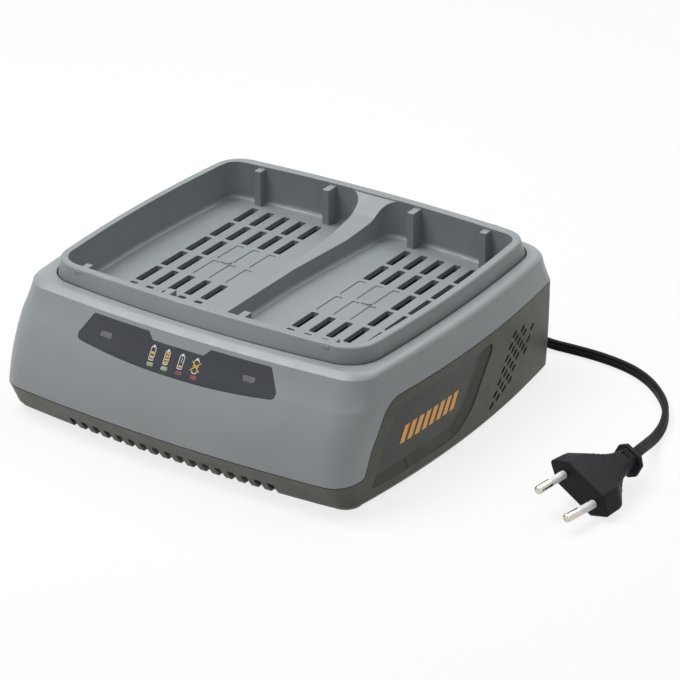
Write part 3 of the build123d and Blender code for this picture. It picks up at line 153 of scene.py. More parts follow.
def smooth_table(table, x):
    """Catmull-Rom reading of a table whose rows start with their place along X."""
    if x <= table[0][0]:
        return table[0][1:]
    if x >= table[-1][0]:
        return table[-1][1:]
    i = max(k for k in range(len(table) - 1) if table[k][0] <= x)
    a, b = table[i], table[i + 1]
    span = b[0] - a[0]
    t = (x - a[0]) / span
    from_a, slope_a = 2 * t**3 - 3 * t**2 + 1, t**3 - 2 * t**2 + t
    from_b, slope_b = -2 * t**3 + 3 * t**2, t**3 - t**2

    def slope(k, column):
        low, high = max(k - 1, 0), min(k + 1, len(table) - 1)
        return (table[high][column] - table[low][column]) / (table[high][0] - table[low][0])

    return [
        from_a * a[column] + slope_a * span * slope(i, column)
        + from_b * b[column] + slope_b * span * slope(i + 1, column)
        for column in range(1, len(a))
    ]


# --------------------------------------------------------------------------------------------
# Materials
# --------------------------------------------------------------------------------------------

def linear(red, green, blue):
    """Scene-linear colour of an 8-bit one."""
    def channel(value):
        value /= 255
        return value / 12.92 if value <= 0.04045 else ((value + 0.055) / 1.055) ** 2.4
    return (channel(red), channel(green), channel(blue), 1.0)


def scaled(colour, factor):
    return tuple(min(1.0, c * factor) for c in colour[:3]) + (1.0,)


class Surface:
    """A Principled material whose colour, roughness and relief come from patterns in the object's frame."""

    def __init__(self, name, roughness=0.5, metallic=0.0, **sockets):
        self.material = bpy.data.materials.new(name)
        self.material.use_nodes = True
        self.tree = self.material.node_tree
        self.shader = self.tree.nodes["Principled BSDF"]
        self.shader.inputs["Metallic"].default_value = metallic
        self.shader.inputs["Roughness"].default_value = roughness
        for socket, value in sockets.items():
            self.shader.inputs[socket.replace("_", " ")].default_value = value
        self.place = self.add("ShaderNodeTexCoord").outputs["Object"]
        self.normal = None

    def add(self, kind, inputs=None, **settings):
        node = self.tree.nodes.new(kind)
        for key, value in settings.items():
            setattr(node, key, value)
        for key, value in (inputs or {}).items():
            if hasattr(value, "is_output"):
                self.tree.links.new(value, node.inputs[key])
            else:
                node.inputs[key].default_value = value
        return node

    def noise(self, size_mm, detail=2.0, stretch=(1, 1, 1)):
        """Noise whose features are about size_mm across."""
        place = self.add("ShaderNodeVectorMath", {0: self.place, 1: stretch}, operation="MULTIPLY")
        inputs = {"Vector": place.outputs[0], "Scale": 1 / (size_mm * MM), "Detail": detail}
        return self.add("ShaderNodeTexNoise", inputs).outputs["Fac"]

    def ramp(self, factor, stops, interpolation="LINEAR"):
        """Colours at their places along a 0 to 1 value."""
        node = self.add("ShaderNodeValToRGB", {"Fac": factor})
        colours = node.color_ramp
        colours.interpolation = interpolation
        while len(colours.elements) < len(stops):
            colours.elements.new(0.5)
        for element, (place, colour) in zip(colours.elements, stops):
            element.position = place
            element.color = colour
        return node.outputs["Color"]

    def reach(self, factor, low, high, from_low=0.3, from_high=0.7):
        """A value spread from one range to another."""
        node = self.add("ShaderNodeMapRange", {
            "Value": factor, "From Min": from_low, "From Max": from_high, "To Min": low, "To Max": high,
        })
        return node.outputs["Result"]

    def colour(self, output):
        self.tree.links.new(output, self.shader.inputs["Base Color"])

    def rough(self, output):
        self.tree.links.new(output, self.shader.inputs["Roughness"])

    def edge(self, radius_mm):
        """Softened edges, under any relief that follows."""
        self.normal = self.add("ShaderNodeBevel", {"Radius": radius_mm * MM}, samples=4).outputs["Normal"]

    def relief(self, height, depth_mm):
        inputs = {"Height": height, "Distance": depth_mm * MM, "Strength": 1.0}
        if self.normal:
            inputs["Normal"] = self.normal
        self.normal = self.add("ShaderNodeBump", inputs).outputs["Normal"]

    def done(self):
        self.tree.links.new(self.normal, self.shader.inputs["Normal"])
        return self.material


def moulded(
    name, colour, roughness=0.46, grain_mm=0.45, grain_depth=0.012, mottle=0.04, edge_mm=0.35, **sockets,
):
    """Moulded plastic: spark-eroded grain, faint flow marks and slightly uneven gloss."""
    s = Surface(name, **sockets)
    flow = s.noise(34, detail=3, stretch=(1.0, 1.0, 1.6))
    s.colour(s.ramp(flow, [(0.3, scaled(colour, 1 - mottle)), (0.7, scaled(colour, 1 + mottle))]))
    s.rough(s.reach(s.noise(9, detail=4), roughness - 0.05, roughness + 0.05))
    s.edge(edge_mm)
    s.relief(s.noise(grain_mm, detail=1), grain_depth)
    return s.done()


def metal(name, colour, roughness=0.25, stretch=(1, 1, 1), size_mm=0.6):
    """Plated or drawn metal with fine lines."""
    s = Surface(name, metallic=1.0)
    lines = s.noise(size_mm, detail=3, stretch=stretch)
    s.colour(s.ramp(lines, [(0.3, scaled(colour, 0.88)), (0.7, scaled(colour, 1.06))]))
    s.rough(s.reach(lines, roughness - 0.06, roughness + 0.08))
    s.edge(0.15)
    s.relief(lines, 0.004)
    return s.done()


MATERIALS = {}

MATERIALS["casing_grey"] = moulded("shell_grey", linear(143, 148, 150), roughness=0.38)
MATERIALS["tray_grey"] = moulded("tray_grey", linear(134, 140, 142), roughness=0.42)
MATERIALS["casing_dark"] = moulded(
    "shell_dark", linear(74, 74, 66), roughness=0.45, grain_mm=0.6, grain_depth=0.02, Specular_IOR_Level=0.3,
)
MATERIALS["inlay_dark"] = moulded(
    "inlay_dark", linear(63, 66, 61), roughness=0.42, grain_mm=0.8, Specular_IOR_Level=0.3,
)
MATERIALS["lens"] = moulded(
    "window", linear(64, 67, 72), roughness=0.3, grain_depth=0.003, edge_mm=0.2, Specular_IOR_Level=0.25,
)
MATERIALS["rubber"] = moulded(
    "foot_rubber", linear(34, 34, 35), roughness=0.7, grain_mm=0.9, grain_depth=0.03,
)
MATERIALS["terminal_black"] = moulded("terminal_black", linear(36, 37, 39), roughness=0.45)
MATERIALS["fan_black"] = moulded("fan_black", linear(30, 31, 33), roughness=0.4)
MATERIALS["package_black"] = moulded("package_black", linear(28, 28, 30), roughness=0.6, grain_mm=0.3)
MATERIALS["socket_white"] = moulded("socket_white", linear(222, 220, 210), roughness=0.4)
MATERIALS["sleeve_white"] = moulded("sleeve_white", linear(232, 233, 231), roughness=0.35, edge_mm=0.15)
MATERIALS["ferrite"] = moulded("ferrite", linear(58, 58, 62), roughness=0.65, grain_mm=0.25, grain_depth=0.03)
MATERIALS["film_capacitor"] = moulded("film_capacitor", linear(150, 122, 52), roughness=0.35)
MATERIALS["lead_wire"] = moulded("lead_wire", linear(150, 42, 36), roughness=0.35, grain_depth=0.003)
MATERIALS["lamp"] = moulded("lamp_body", linear(228, 226, 214), roughness=0.25)
# Lead and plug are one black moulding in two copies: the lead's black is darker, painted shade for its shaded
# side; the plug's is lighter, painted light for its lit top.
MATERIALS["cord_black"] = moulded(
    "cord_black", linear(12, 14, 16), roughness=0.5, grain_mm=0.5, mottle=0.07, Specular_IOR_Level=0.1,
)
# Lighter copy of the lead's black for the plug: painted light standing in for the light on the plug's top.
PLUG_BLACK_LIT_COPY = moulded(
    "plug_black_lit_copy", linear(24, 27, 30), roughness=0.5, grain_mm=0.5, mottle=0.07, Specular_IOR_Level=0.15,
)
MATERIALS["screw_steel"] = metal("screw_steel", linear(186, 188, 190), stretch=(1, 1, 4))
MATERIALS["contact_metal"] = metal("contact_nickel", linear(206, 200, 188), roughness=0.2, stretch=(1, 4, 1))
MATERIALS["heat_sink"] = metal(
    "heat_sink", linear(196, 198, 200), roughness=0.4, stretch=(0.15, 1, 1), size_mm=0.4,
)


def circuit_board():
    """Green solder mask over a grid of traces."""
    s = Surface("board_green", roughness=0.32)
    tracks = s.add("ShaderNodeTexBrick", {
        "Vector": s.place, "Scale": 130.0, "Mortar Size": 0.03, "Color1": linear(20, 84, 44),
        "Color2": linear(26, 98, 50), "Mortar": linear(46, 128, 66),
    }).outputs["Color"]
    s.colour(tracks)
    s.relief(s.noise(1.2, detail=2), 0.02)
    return s.done()


def winding():
    """Close turns of enamelled wire."""
    s = Surface("copper_winding", roughness=0.3, metallic=0.8)
    inputs = {"Vector": s.place, "Scale": 420.0, "Distortion": 0.4}
    turns = s.add("ShaderNodeTexWave", inputs, bands_direction="Z").outputs["Fac"]
    s.colour(s.ramp(turns, [(0.1, linear(104, 48, 22)), (0.9, linear(206, 120, 66))]))
    s.relief(turns, 0.25)
    return s.done()


def can_sleeve():
    """Shrunk sleeve with a paler stripe down one side."""
    s = Surface("can_sleeve", roughness=0.3)
    inputs = {"Vector": s.place, "Scale": 38.0, "Distortion": 0.0}
    stripe = s.add("ShaderNodeTexWave", inputs, bands_direction="X").outputs["Fac"]
    s.colour(s.ramp(stripe, [(0.86, linear(30, 36, 62)), (0.9, linear(146, 150, 160))]))
    s.relief(s.noise(2.0, detail=2), 0.03)
    return s.done()


def glass():
    """The fuse's clear tube."""
    s = Surface("fuse_glass", roughness=0.08, IOR=1.47, Transmission_Weight=0.85)
    s.colour(s.ramp(s.noise(6, detail=1), [(0.3, linear(214, 222, 220)), (0.7, linear(238, 242, 240))]))
    s.relief(s.noise(3, detail=1), 0.01)
    return s.done()


MATERIALS["board"] = circuit_board()
MATERIALS["copper_winding"] = winding()
MATERIALS["can_sleeve"] = can_sleeve()
MATERIALS["fuse_glass"] = glass()


STATUS_HALF = 16.0       # the four lights share out this much of the window on each side of its middle


def light_marks():
    """Lit ends of the four status lights: two green ones, then two red ones, told apart by their place."""
    s = Surface("status_lights", roughness=0.3)
    s.shader.inputs["Emission Strength"].default_value = 0.3
    along = s.add("ShaderNodeSeparateXYZ", {"Vector": s.place}).outputs["X"]
    place = s.reach(along, 0.0, 1.0, from_low=-STATUS_HALF * MM, from_high=STATUS_HALF * MM)
    stops = [
        (0.0, linear(134, 154, 118)), (0.25, linear(142, 156, 136)),
        (0.5, linear(114, 70, 80)), (0.75, linear(128, 70, 70)),
    ]
    bands = s.ramp(place, stops, "CONSTANT")
    cloud = s.reach(s.noise(0.9, detail=2), 0.75, 1.1)
    mottled = s.add("ShaderNodeVectorMath", {0: bands, "Scale": cloud}, operation="SCALE").outputs["Vector"]
    s.colour(mottled)
    s.tree.links.new(mottled, s.shader.inputs["Emission Color"])
    s.relief(s.noise(0.4, detail=1), 0.01)
    return s.done()


MATERIALS["status_light"] = light_marks()
MATERIALS["light_guide"] = moulded("light_guide", linear(100, 103, 108), roughness=0.3, grain_depth=0.004)
ORANGE = moulded("printed_orange", linear(255, 178, 72), roughness=0.4, grain_depth=0.002, edge_mm=0.05)
ICON_ORANGE = moulded("icon_orange", linear(232, 176, 84), roughness=0.4, grain_depth=0.002, edge_mm=0.03)
ICON_WHITE = moulded("icon_white", linear(222, 222, 220), roughness=0.4, grain_depth=0.002, edge_mm=0.03)

material_of_node = {p["node"]: MATERIALS[p["material_slot"]] for p in frame["record"]["subparts"]}
material_of_node["status_light_guides"] = MATERIALS["status_light"]
for name, node in nodes.items():
    node.data.materials.clear()
    node.data.materials.append(material_of_node[name])


# --------------------------------------------------------------------------------------------
# Plug
# --------------------------------------------------------------------------------------------

PLUG_FACE = Vector((171.2, -20.9, 11.0))
PLUG_HEADING = math.radians(-98.9)
PLUG_TILT = math.radians(-25.9)
# Distance behind the face, then half of the width, thickness, flat top and straight side.
PLUG_STATIONS = (
    (0.0, 17.65, 6.85, 10.8, 0.6), (5.4, 17.4, 6.85, 10.6, 0.6), (10.8, 16.85, 6.85, 10.4, 0.6),
    (13.0, 14.6, 6.8, 9.4, 1.4), (15.0, 12.3, 6.7, 8.2, 2.2), (18.0, 9.4, 6.6, 6.4, 3.0),
    (21.0, 7.3, 6.4, 5.0, 3.3), (25.0, 5.5, 6.2, 3.9, 3.4), (29.0, 4.6, 6.0, 3.3, 3.4),
    (34.0, 4.5, 5.9, 3.2, 3.4),
)
COLLAR = (7.2, 6.75, 4.2, 3.2)
COLLAR_START, COLLAR_END, COLLAR_SOFT = 33.2, 35.6, 0.5
FACE_EDGE, FACE_STEPS = 0.9, 5
RIDGES = [15.6 + 1.9 * i for i in range(7)]
RIDGE_HALF, RIDGE_HEIGHT = 0.62, 0.24
RIDGE_STEP, PLAIN_STEP = 0.24, 0.6
BAR_PLACE, BAR_RADIUS, BAR_BASE = 31.7, 0.95, 5.6
BAR_RUN = (-3.2, -3.0, -1.0, 1.0, 3.0, 3.2)
BAR_STEPS = 8
NECK_WINDOW_PLACE, NECK_WINDOW_DEPTHS = 29.4, (3.6, 9.0)
NECK_WINDOW = [(-2.6, -0.65), (2.6, -0.65), (2.6, 0.65), (-2.6, 0.65)]
NECK_WINDOW_RADIUS = 0.3

pin_way = Vector((math.cos(PLUG_HEADING), math.sin(PLUG_HEADING), 0))
plug_across = Matrix.Rotation(PLUG_TILT, 3, pin_way) @ pin_way.cross(Vector((0, 0, 1)))
plug_up = (-pin_way).cross(plug_across)


def in_plug(across, up, behind):
    """A point of the plug: across its pins, up from their plane, and behind its face."""
    return PLUG_FACE + plug_across * across + plug_up * up - pin_way * behind


def plug_ring(behind, half_width, half_thickness, half_flat, half_side, radius=0.8):
    """One eight-cornered section of the plug."""
    upper = [
        (half_width, half_side), (half_flat, half_thickness),
        (-half_flat, half_thickness), (-half_width, half_side),
    ]
    corners = upper + [(-x, -y) for x, y in upper]
    outline = rounded_polygon(corners, min(radius, half_side * 0.8))
    return [in_plug(x, y, behind) for x, y in outline]


def ridge_rise(behind):
    """Full height on a ridge, 0 between ridges."""
    nearest = min(abs(behind - c) for c in RIDGES)
    return RIDGE_HEIGHT * max(0.0, math.cos(min(1.0, nearest / RIDGE_HALF) * math.pi / 2))


def plug_skin():
    """The plug's body: a rounded face edge, then the stations with the ridges of its grip."""
    rings = []
    w, t, f, s = PLUG_STATIONS[0][1:]
    for step in range(FACE_STEPS + 1):
        angle = math.pi / 2 * step / FACE_STEPS
        inset = FACE_EDGE * (1 - math.sin(angle))
        rings.append(plug_ring(FACE_EDGE * (1 - math.cos(angle)), w - inset, t - inset, f - inset * 0.6, s))
    behind = FACE_EDGE + PLAIN_STEP
    while behind < PLUG_STATIONS[-1][0]:
        w, t, f, s = smooth_table(PLUG_STATIONS, behind)
        on_grip = RIDGES[0] - 1 < behind < RIDGES[-1] + 1
        rise = ridge_rise(behind)
        rings.append(plug_ring(behind, w + rise, t + rise, f + rise * 0.5, s))
        behind += RIDGE_STEP if on_grip else PLAIN_STEP
    rings.append(plug_ring(*PLUG_STATIONS[-1]))
    return loft(rings)


def collar_skin():
    """The wider ring at the plug's tail, with soft edges."""
    w, t, f, s = COLLAR
    steps = ((0.0, COLLAR_SOFT), (0.15, COLLAR_SOFT * 0.4), (COLLAR_SOFT, 0.0))
    run = [(COLLAR_START + way, inset) for way, inset in steps]
    run += [(COLLAR_END - way, inset) for way, inset in reversed(steps)]
    return loft([
        plug_ring(behind, w - inset, t - inset, f - inset * 0.5, s - inset * 0.4, 0.5)
        for behind, inset in run
    ])


def plug_bar(side):
    """Raised half-round bar across the neck, on one face."""
    points = []
    for step in range(BAR_STEPS + 1):
        angle = math.pi * step / BAR_STEPS
        up = BAR_BASE + BAR_RADIUS * math.sin(angle)
        points += [in_plug(x, side * up, BAR_PLACE - BAR_RADIUS * math.cos(angle)) for x in BAR_RUN]
    count = len(BAR_RUN)
    faces = [
        (i * count + j, i * count + j + 1, (i + 1) * count + j + 1, (i + 1) * count + j)
        for i in range(BAR_STEPS) for j in range(count - 1)
    ]
    faces.append(tuple(i * count for i in range(BAR_STEPS + 1)))
    faces.append(tuple(i * count + count - 1 for i in reversed(range(BAR_STEPS + 1))))
    faces.append((*range(count), *(BAR_STEPS * count + j for j in reversed(range(count)))))
    return points, faces


def neck_cutter(name, side):
    """Block that cuts the small window in the neck, on one face."""
    outline = rounded_polygon(NECK_WINDOW, NECK_WINDOW_RADIUS, steps=3)
    rings = [
        [in_plug(x, side * up, NECK_WINDOW_PLACE + y) for x, y in outline] for up in NECK_WINDOW_DEPTHS
    ]
    return mesh_object(name, *loft(rings))


def cut(piece, blocks):
    """Takes the blocks out of the piece for good."""
    for block in blocks:
        step = piece.modifiers.new("cut", "BOOLEAN")
        step.operation = "DIFFERENCE"
        step.solver = "EXACT"
        step.object = block
    bpy.context.view_layer.update()
    shaped = bpy.data.meshes.new_from_object(piece.evaluated_get(bpy.context.evaluated_depsgraph_get()))
    piece.modifiers.clear()
    piece.data = shaped
    for block in blocks:
        bpy.data.objects.remove(block)


plug = make_piece("plug_shell", *plug_skin(), PLUG_BLACK_LIT_COPY, slot="cord_black")
cut(plug, [neck_cutter("window_top", 1), neck_cutter("window_bottom", -1)])
shade(plug, True)
collar = make_piece("plug_collar", *collar_skin(), PLUG_BLACK_LIT_COPY, slot="cord_black")
bars = make_piece("plug_bars", *join_parts(plug_bar(1), plug_bar(-1)), PLUG_BLACK_LIT_COPY, slot="cord_black")
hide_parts("plug_body")


# --------------------------------------------------------------------------------------------
# Lead and its boot
# --------------------------------------------------------------------------------------------

CORD_ROUTE = (
    (69.0, 106.2, 4.5), (81.5, 106.0, 2.7), (94.0, 107.0, 2.7), (106.2, 107.5, 2.7),
    (118.3, 106.6, 2.7), (129.8, 103.9, 2.7), (140.2, 98.7, 2.7), (149.6, 91.1, 2.7),
    (157.8, 82.2, 2.7), (163.7, 72.0, 2.7), (167.6, 61.4, 2.7), (169.8, 51.0, 3.4),
    (171.8, 41.0, 5.6), (174.2, 31.2, 8.6), (175.8, 23.6, 10.7), (176.6, 13.6, 11.0),
)
CORD_WIDTH, CORD_THICKNESS = 5.2, 3.2
FLUTE_DEPTH, FLUTE_HALF = 0.34, 0.62
FLUTE_POINTS = (0.3, 0.0, -0.3)
SECTION_STEPS = 36
TWIST_LENGTH = 78.0      # stretch before the plug in which the flat lead turns from upright to its tilt

spline_curve = bpy.data.curves.new("lead_line", "CURVE")
spline_curve.dimensions = "3D"
spline = spline_curve.splines.new("NURBS")
spline.points.add(len(CORD_ROUTE) - 1)
for point, place in zip(spline.points, CORD_ROUTE):
    point.co = (*(value * MM for value in place), 1.0)
spline.order_u = 3
spline.use_endpoint_u = True
spline.resolution_u = 10
spline_curve.resolution_u = 10
line_object = bpy.data.objects.new("lead_line", spline_curve)
bpy.context.scene.collection.objects.link(line_object)
bpy.context.view_layer.update()
line_mesh = bpy.data.meshes.new_from_object(line_object.evaluated_get(bpy.context.evaluated_depsgraph_get()))
cord_path = [v.co.copy() for v in line_mesh.vertices]
bpy.data.objects.remove(line_object)


def directions(path):
    """Unit tangent at each point of a path."""
    last = len(path) - 1
    return [(path[min(i + 1, last)] - path[max(i - 1, 0)]).normalized() for i in range(len(path))]


def smoothstep(x):
    x = min(1.0, max(0.0, x))
    return x * x * (3 - 2 * x)


def lead_outline():
    """Section of the two-core lead: two rounds side by side with a shallow groove between them."""
    def flute(x):
        return FLUTE_DEPTH * math.exp(-((x / FLUTE_HALF) ** 2))

    outline = []
    core = CORD_THICKNESS / 2
    spread = CORD_WIDTH / 2 - core
    for i in range(SECTION_STEPS):
        angle = 2 * math.pi * i / SECTION_STEPS
        x = core * math.cos(angle) + math.copysign(spread, math.cos(angle))
        y = core * math.sin(angle)
        outline.append((x, y - math.copysign(flute(x), y)))
    for x in FLUTE_POINTS:
        outline.append((x, core - flute(x)))
        outline.append((x, flute(x) - core))
    outline.sort(key=lambda p: math.atan2(p[1], p[0]))
    return outline


def lead_skin(path):
    """Tube along the path that turns from upright to the plug's tilt before it reaches the plug."""
    outline = lead_outline()
    tangents = directions(path)
    left = [0.0]
    for a, b in zip(reversed(path[1:]), reversed(path[:-1])):
        left.append(left[-1] + (a - b).length / MM)
    left.reverse()
    upright_at_plug = Vector((0, 0, 1)) - tangents[-1] * tangents[-1].z
    full_turn = upright_at_plug.angle(plug_across - tangents[-1] * plug_across.dot(tangents[-1]))
    sense = 1 if tangents[-1].dot(upright_at_plug.cross(plug_across)) > 0 else -1
    rings = []
    for place, tangent, remaining in zip(path, tangents, left):
        upright = (Vector((0, 0, 1)) - tangent * tangent.z).normalized()
        turn = sense * full_turn * smoothstep(1 - remaining / TWIST_LENGTH)
        wide = Matrix.Rotation(turn, 3, tangent) @ upright
        thin = tangent.cross(wide)
        rings.append([place / MM + wide * x + thin * y for x, y in outline])
    return loft(rings)


lead = make_piece("mains_lead", *lead_skin(cord_path), MATERIALS["cord_black"], slot="cord_black")
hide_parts("mains_cord")

# Place, heading, width and height of the boot's sections.
BOOT_STATIONS = (
    ((57.0, 85.2, 8.6), (0, 1, 0), 8.2, 7.2),
    ((57.0, 91.5, 8.6), (0, 1, 0), 8.4, 7.4),
    ((58.7, 97.8, 7.8), (0.45, 0.88, -0.15), 7.4, 6.9),
    ((63.0, 103.7, 6.2), (0.8, 0.56, -0.2), 6.3, 6.5),
    ((69.0, 106.2, 4.5), (0.98, 0.05, -0.15), 4.6, 6.2),
)
BOOT_GROOVE, BOOT_PITCH = 0.55, 2.3
BOOT_PLAIN = (2.2, 1.2)      # smooth lengths before the first groove and after the last one
BOOT_FLANK = 0.12            # share of the pitch in which a groove's flank rises
BOOT_LAND = 0.52             # share of the pitch before a groove starts
BOOT_CORNER, BOOT_STEPS = 1.5, 110


def boot_skin():
    """Tapered sleeve with ring grooves, bending from the casing's rear wall down to the lead."""
    table, along = [], 0.0
    for i, (place, heading, width, height) in enumerate(BOOT_STATIONS):
        if i:
            along += (Vector(place) - Vector(BOOT_STATIONS[i - 1][0])).length
        table.append((along, *place, *heading, width, height))
    first_groove = table[1][0] + BOOT_PLAIN[0]
    rings = []
    for step in range(BOOT_STEPS + 1):
        s = along * step / BOOT_STEPS
        x, y, z, hx, hy, hz, width, height = smooth_table(table, s)
        heading = Vector((hx, hy, hz)).normalized()
        sideways = heading.cross(Vector((0, 0, 1))).normalized()
        up = sideways.cross(heading)
        groove = 0.0
        if first_groove < s < along - BOOT_PLAIN[1]:
            phase = ((s - first_groove) / BOOT_PITCH) % 1.0
            flanks = smoothstep((phase - BOOT_LAND) / BOOT_FLANK) * smoothstep((1.0 - phase) / BOOT_FLANK)
            groove = BOOT_GROOVE * flanks
        w, h = width / 2 - groove, height / 2 - groove
        corners = [(-w, -h), (w, -h), (w, h), (-w, h)]
        outline = rounded_polygon(corners, BOOT_CORNER, steps=5)
        rings.append([Vector((x, y, z)) + sideways * a + up * b for a, b in outline])
    return loft(rings)


boot = make_piece("lead_boot", *boot_skin(), MATERIALS["cord_black"], slot="cord_black")
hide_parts("strain_relief")


# --------------------------------------------------------------------------------------------
# Marks on the window and the side
# --------------------------------------------------------------------------------------------

CELL_LENGTH = 0.4        # longest flat cell of a mark, so that it follows a curved skin
PRINT_DEPTH, PRINT_HEIGHT = 0.02, 0.06
FRONT_PLANE, SIDE_PLANE = 80.0, 90.0
RAY_START = 60.0         # how far outside those planes the look at the surface starts


def stroke(outline, half_width, closed=True):
    """Outer and inner run of a line of even width along a flat outline."""
    outer, inner = [], []
    count = len(outline)
    for i, point in enumerate(outline):
        before = outline[i - 1] if closed or i else point
        after = outline[(i + 1) % count] if closed or i < count - 1 else point
        way = (Vector(after) - Vector(before)).normalized()
        side = Vector((-way.y, way.x))
        outer.append(Vector(point) + side * half_width)
        inner.append(Vector(point) - side * half_width)
    return outer, inner


def between(a, b, share):
    return Vector(a) + (Vector(b) - Vector(a)) * share


def band_faces(outer, inner, closed=True):
    """Flat cells between two runs, each no longer than CELL_LENGTH."""
    cells = []
    count = len(outer)
    for i in range(count if closed else count - 1):
        k = (i + 1) % count
        parts = max(1, math.ceil((outer[k] - outer[i]).length / CELL_LENGTH))
        for part in range(parts):
            start, end = part / parts, (part + 1) / parts
            cells.append([
                between(outer[i], outer[k], start), between(outer[i], outer[k], end),
                between(inner[i], inner[k], end), between(inner[i], inner[k], start),
            ])
    return cells


def print_marks(name, cells, node, look, on_plane, material, slot):
    """Lays flat cells on a CAD surface, seen along look, as raised print; neighbours share their edges."""
    look = Vector(look)
    numbers, points, outlines = {}, [], []
    for cell in cells:
        corners = []
        for u, v in cell:
            key = (round(u, 3), round(v, 3))
            if key not in numbers:
                hit, place, normal, _ = nodes[node].ray_cast((on_plane(u, v) - look * RAY_START) * MM, look)
                if not hit:
                    sys.exit(f"{name}: a mark misses {node} at {key}")
                if normal.dot(look) > 0:
                    normal = -normal
                numbers[key] = len(points) // 2
                points += [place / MM - normal * PRINT_DEPTH, place / MM + normal * PRINT_HEIGHT]
            if numbers[key] not in corners:
                corners.append(numbers[key])
        if len(corners) > 2:
            outlines.append(corners)
    uses = {}
    for corners in outlines:
        for a, b in zip(corners, corners[1:] + corners[:1]):
            uses[frozenset((a, b))] = uses.get(frozenset((a, b)), 0) + 1
    faces = []
    for corners in outlines:
        faces.append([2 * i + 1 for i in corners])
        faces.append([2 * i for i in reversed(corners)])
        for a, b in zip(corners, corners[1:] + corners[:1]):
            if uses[frozenset((a, b))] == 1:
                faces.append([2 * a, 2 * b, 2 * b + 1, 2 * a + 1])
    make_piece(name, points, faces, material, slot, smooth=False)


def on_front(u, v):
    return Vector((u, -FRONT_PLANE, v))


ICON_X = (-11.9, -4.1, 3.65, 11.45)
ICON_Z = 49.75
ICON_WIDTH, ICON_HEIGHT, ICON_LINE = 2.35, 5.0, 0.17
CAN_RADIUS = 0.38
CAP_HEIGHT, CAP_WIDTH = 0.6, 1.2
LEVEL_WIDTH = 1.45
# For each of the first three signs: heights of its level bars over its middle, and their thickness.
LEVELS = (((-1.35, 0.25), 1.0), ((-1.75, -0.6, 0.55, 1.7), 0.75), ((-1.6,), 0.7))
CALL_RISE, CALL_SIZE = 0.75, (0.22, 2.3)          # the upright mark in the third sign
CROSS_HALF = Vector((2.35, 1.75))
CROSS_LINE, CROSS_GAP = 0.2, 0.09
CROSSED_HALF = 1.4                                # half of the height that the cross takes from its can
LUMP_PLACE, LUMP_SIZE = (1.15, 0.1), (0.5, 0.8)   # thicker middle of the cross, on each side


def battery(x, z, width, height):
    """A battery sign: the outline of its can, then the cells of its cap."""
    w, h = width / 2, height / 2
    corners = [(x - w, z - h), (x + w, z - h), (x + w, z + h), (x - w, z + h)]
    can = rounded_polygon(corners, CAN_RADIUS, steps=3)
    return can, bar(x, z + h + ICON_LINE + CAP_HEIGHT / 2, CAP_WIDTH, CAP_HEIGHT)


def bar(x, z, width, height):
    """Cells of a level bar, given by its middle."""
    low, high = z - height / 2, z + height / 2
    lower = [Vector((x - width / 2, low)), Vector((x + width / 2, low))]
    upper = [Vector((x - width / 2, high)), Vector((x + width / 2, high))]
    rows = max(1, math.ceil(height / CELL_LENGTH))
    cells = []
    for row in range(rows):
        start = [between(a, b, row / rows) for a, b in zip(lower, upper)]
        end = [between(a, b, (row + 1) / rows) for a, b in zip(lower, upper)]
        cells += band_faces(start, end, closed=False)
    return cells


def slanting(start, end):
    """Cells of one straight line of the cross."""
    return band_faces(*stroke([start, end], CROSS_LINE, closed=False), closed=False)


white_cells, orange_cells = [], []
for number, x in enumerate(ICON_X):
    can, cap = battery(x, ICON_Z, ICON_WIDTH, ICON_HEIGHT)
    for cell in band_faces(*stroke(can, ICON_LINE)):
        is_crossed = number == 3 and abs(cell[0].y - ICON_Z) < CROSSED_HALF
        if not is_crossed:
            white_cells.append(cell)
    white_cells += cap
for x, (rises, thickness) in zip(ICON_X, LEVELS):
    for rise in rises:
        orange_cells += bar(x, ICON_Z + rise, LEVEL_WIDTH, thickness)
white_cells += bar(ICON_X[2], ICON_Z + CALL_RISE, *CALL_SIZE)
cross = Vector((ICON_X[3], ICON_Z))
falling = Vector((-CROSS_HALF.x, CROSS_HALF.y))
orange_cells += slanting(cross + falling, cross - falling)
for way in (-1, 1):
    orange_cells += slanting(cross + CROSS_HALF * CROSS_GAP * way, cross + CROSS_HALF * way)
    orange_cells += bar(cross.x + way * LUMP_PLACE[0], cross.y + LUMP_PLACE[1], *LUMP_SIZE)
print_marks("icons_white", white_cells, "indicator_lens", (0, 1, 0), on_front, ICON_WHITE, "lens")
print_marks("icons_orange", orange_cells, "indicator_lens", (0, 1, 0), on_front, ICON_ORANGE, "lens")


STRIPE_COUNT = 8
STRIPE_START, STRIPE_BOTTOM, STRIPE_TOP = -46.0, 21.4, 29.0
STRIPE_WIDTH, STRIPE_PITCH = 3.3, 5.4
STRIPE_SLANT = 0.55


def side_stripes(side):
    """Slanted bars of even height on a side plate."""
    cells = []
    shift = STRIPE_SLANT * (STRIPE_TOP - STRIPE_BOTTOM)
    for number in range(STRIPE_COUNT):
        y = STRIPE_START + number * STRIPE_PITCH
        front = [Vector((y, STRIPE_BOTTOM)), Vector((y + shift, STRIPE_TOP))]
        rear = [point + Vector((STRIPE_WIDTH, 0)) for point in front]
        cells += band_faces(front, rear, closed=False)

    def on_side(u, v):
        return Vector((side * SIDE_PLANE, u, v))

    end = "right" if side > 0 else "left"
    print_marks(f"stripes_{end}", cells, f"side_inlay_{end}", (-side, 0, 0), on_side, ORANGE, "inlay_dark")


side_stripes(1)
side_stripes(-1)


# --------------------------------------------------------------------------------------------
# Floor, world and lamps
# --------------------------------------------------------------------------------------------

FLOOR_HALF = 3.0
FLOOR_WHITE = 0.88
FLOOR_GLOW = 0.8         # share of the floor's look that is plain white where it is seen directly
SKY = 0.1                # strength of the world as a light


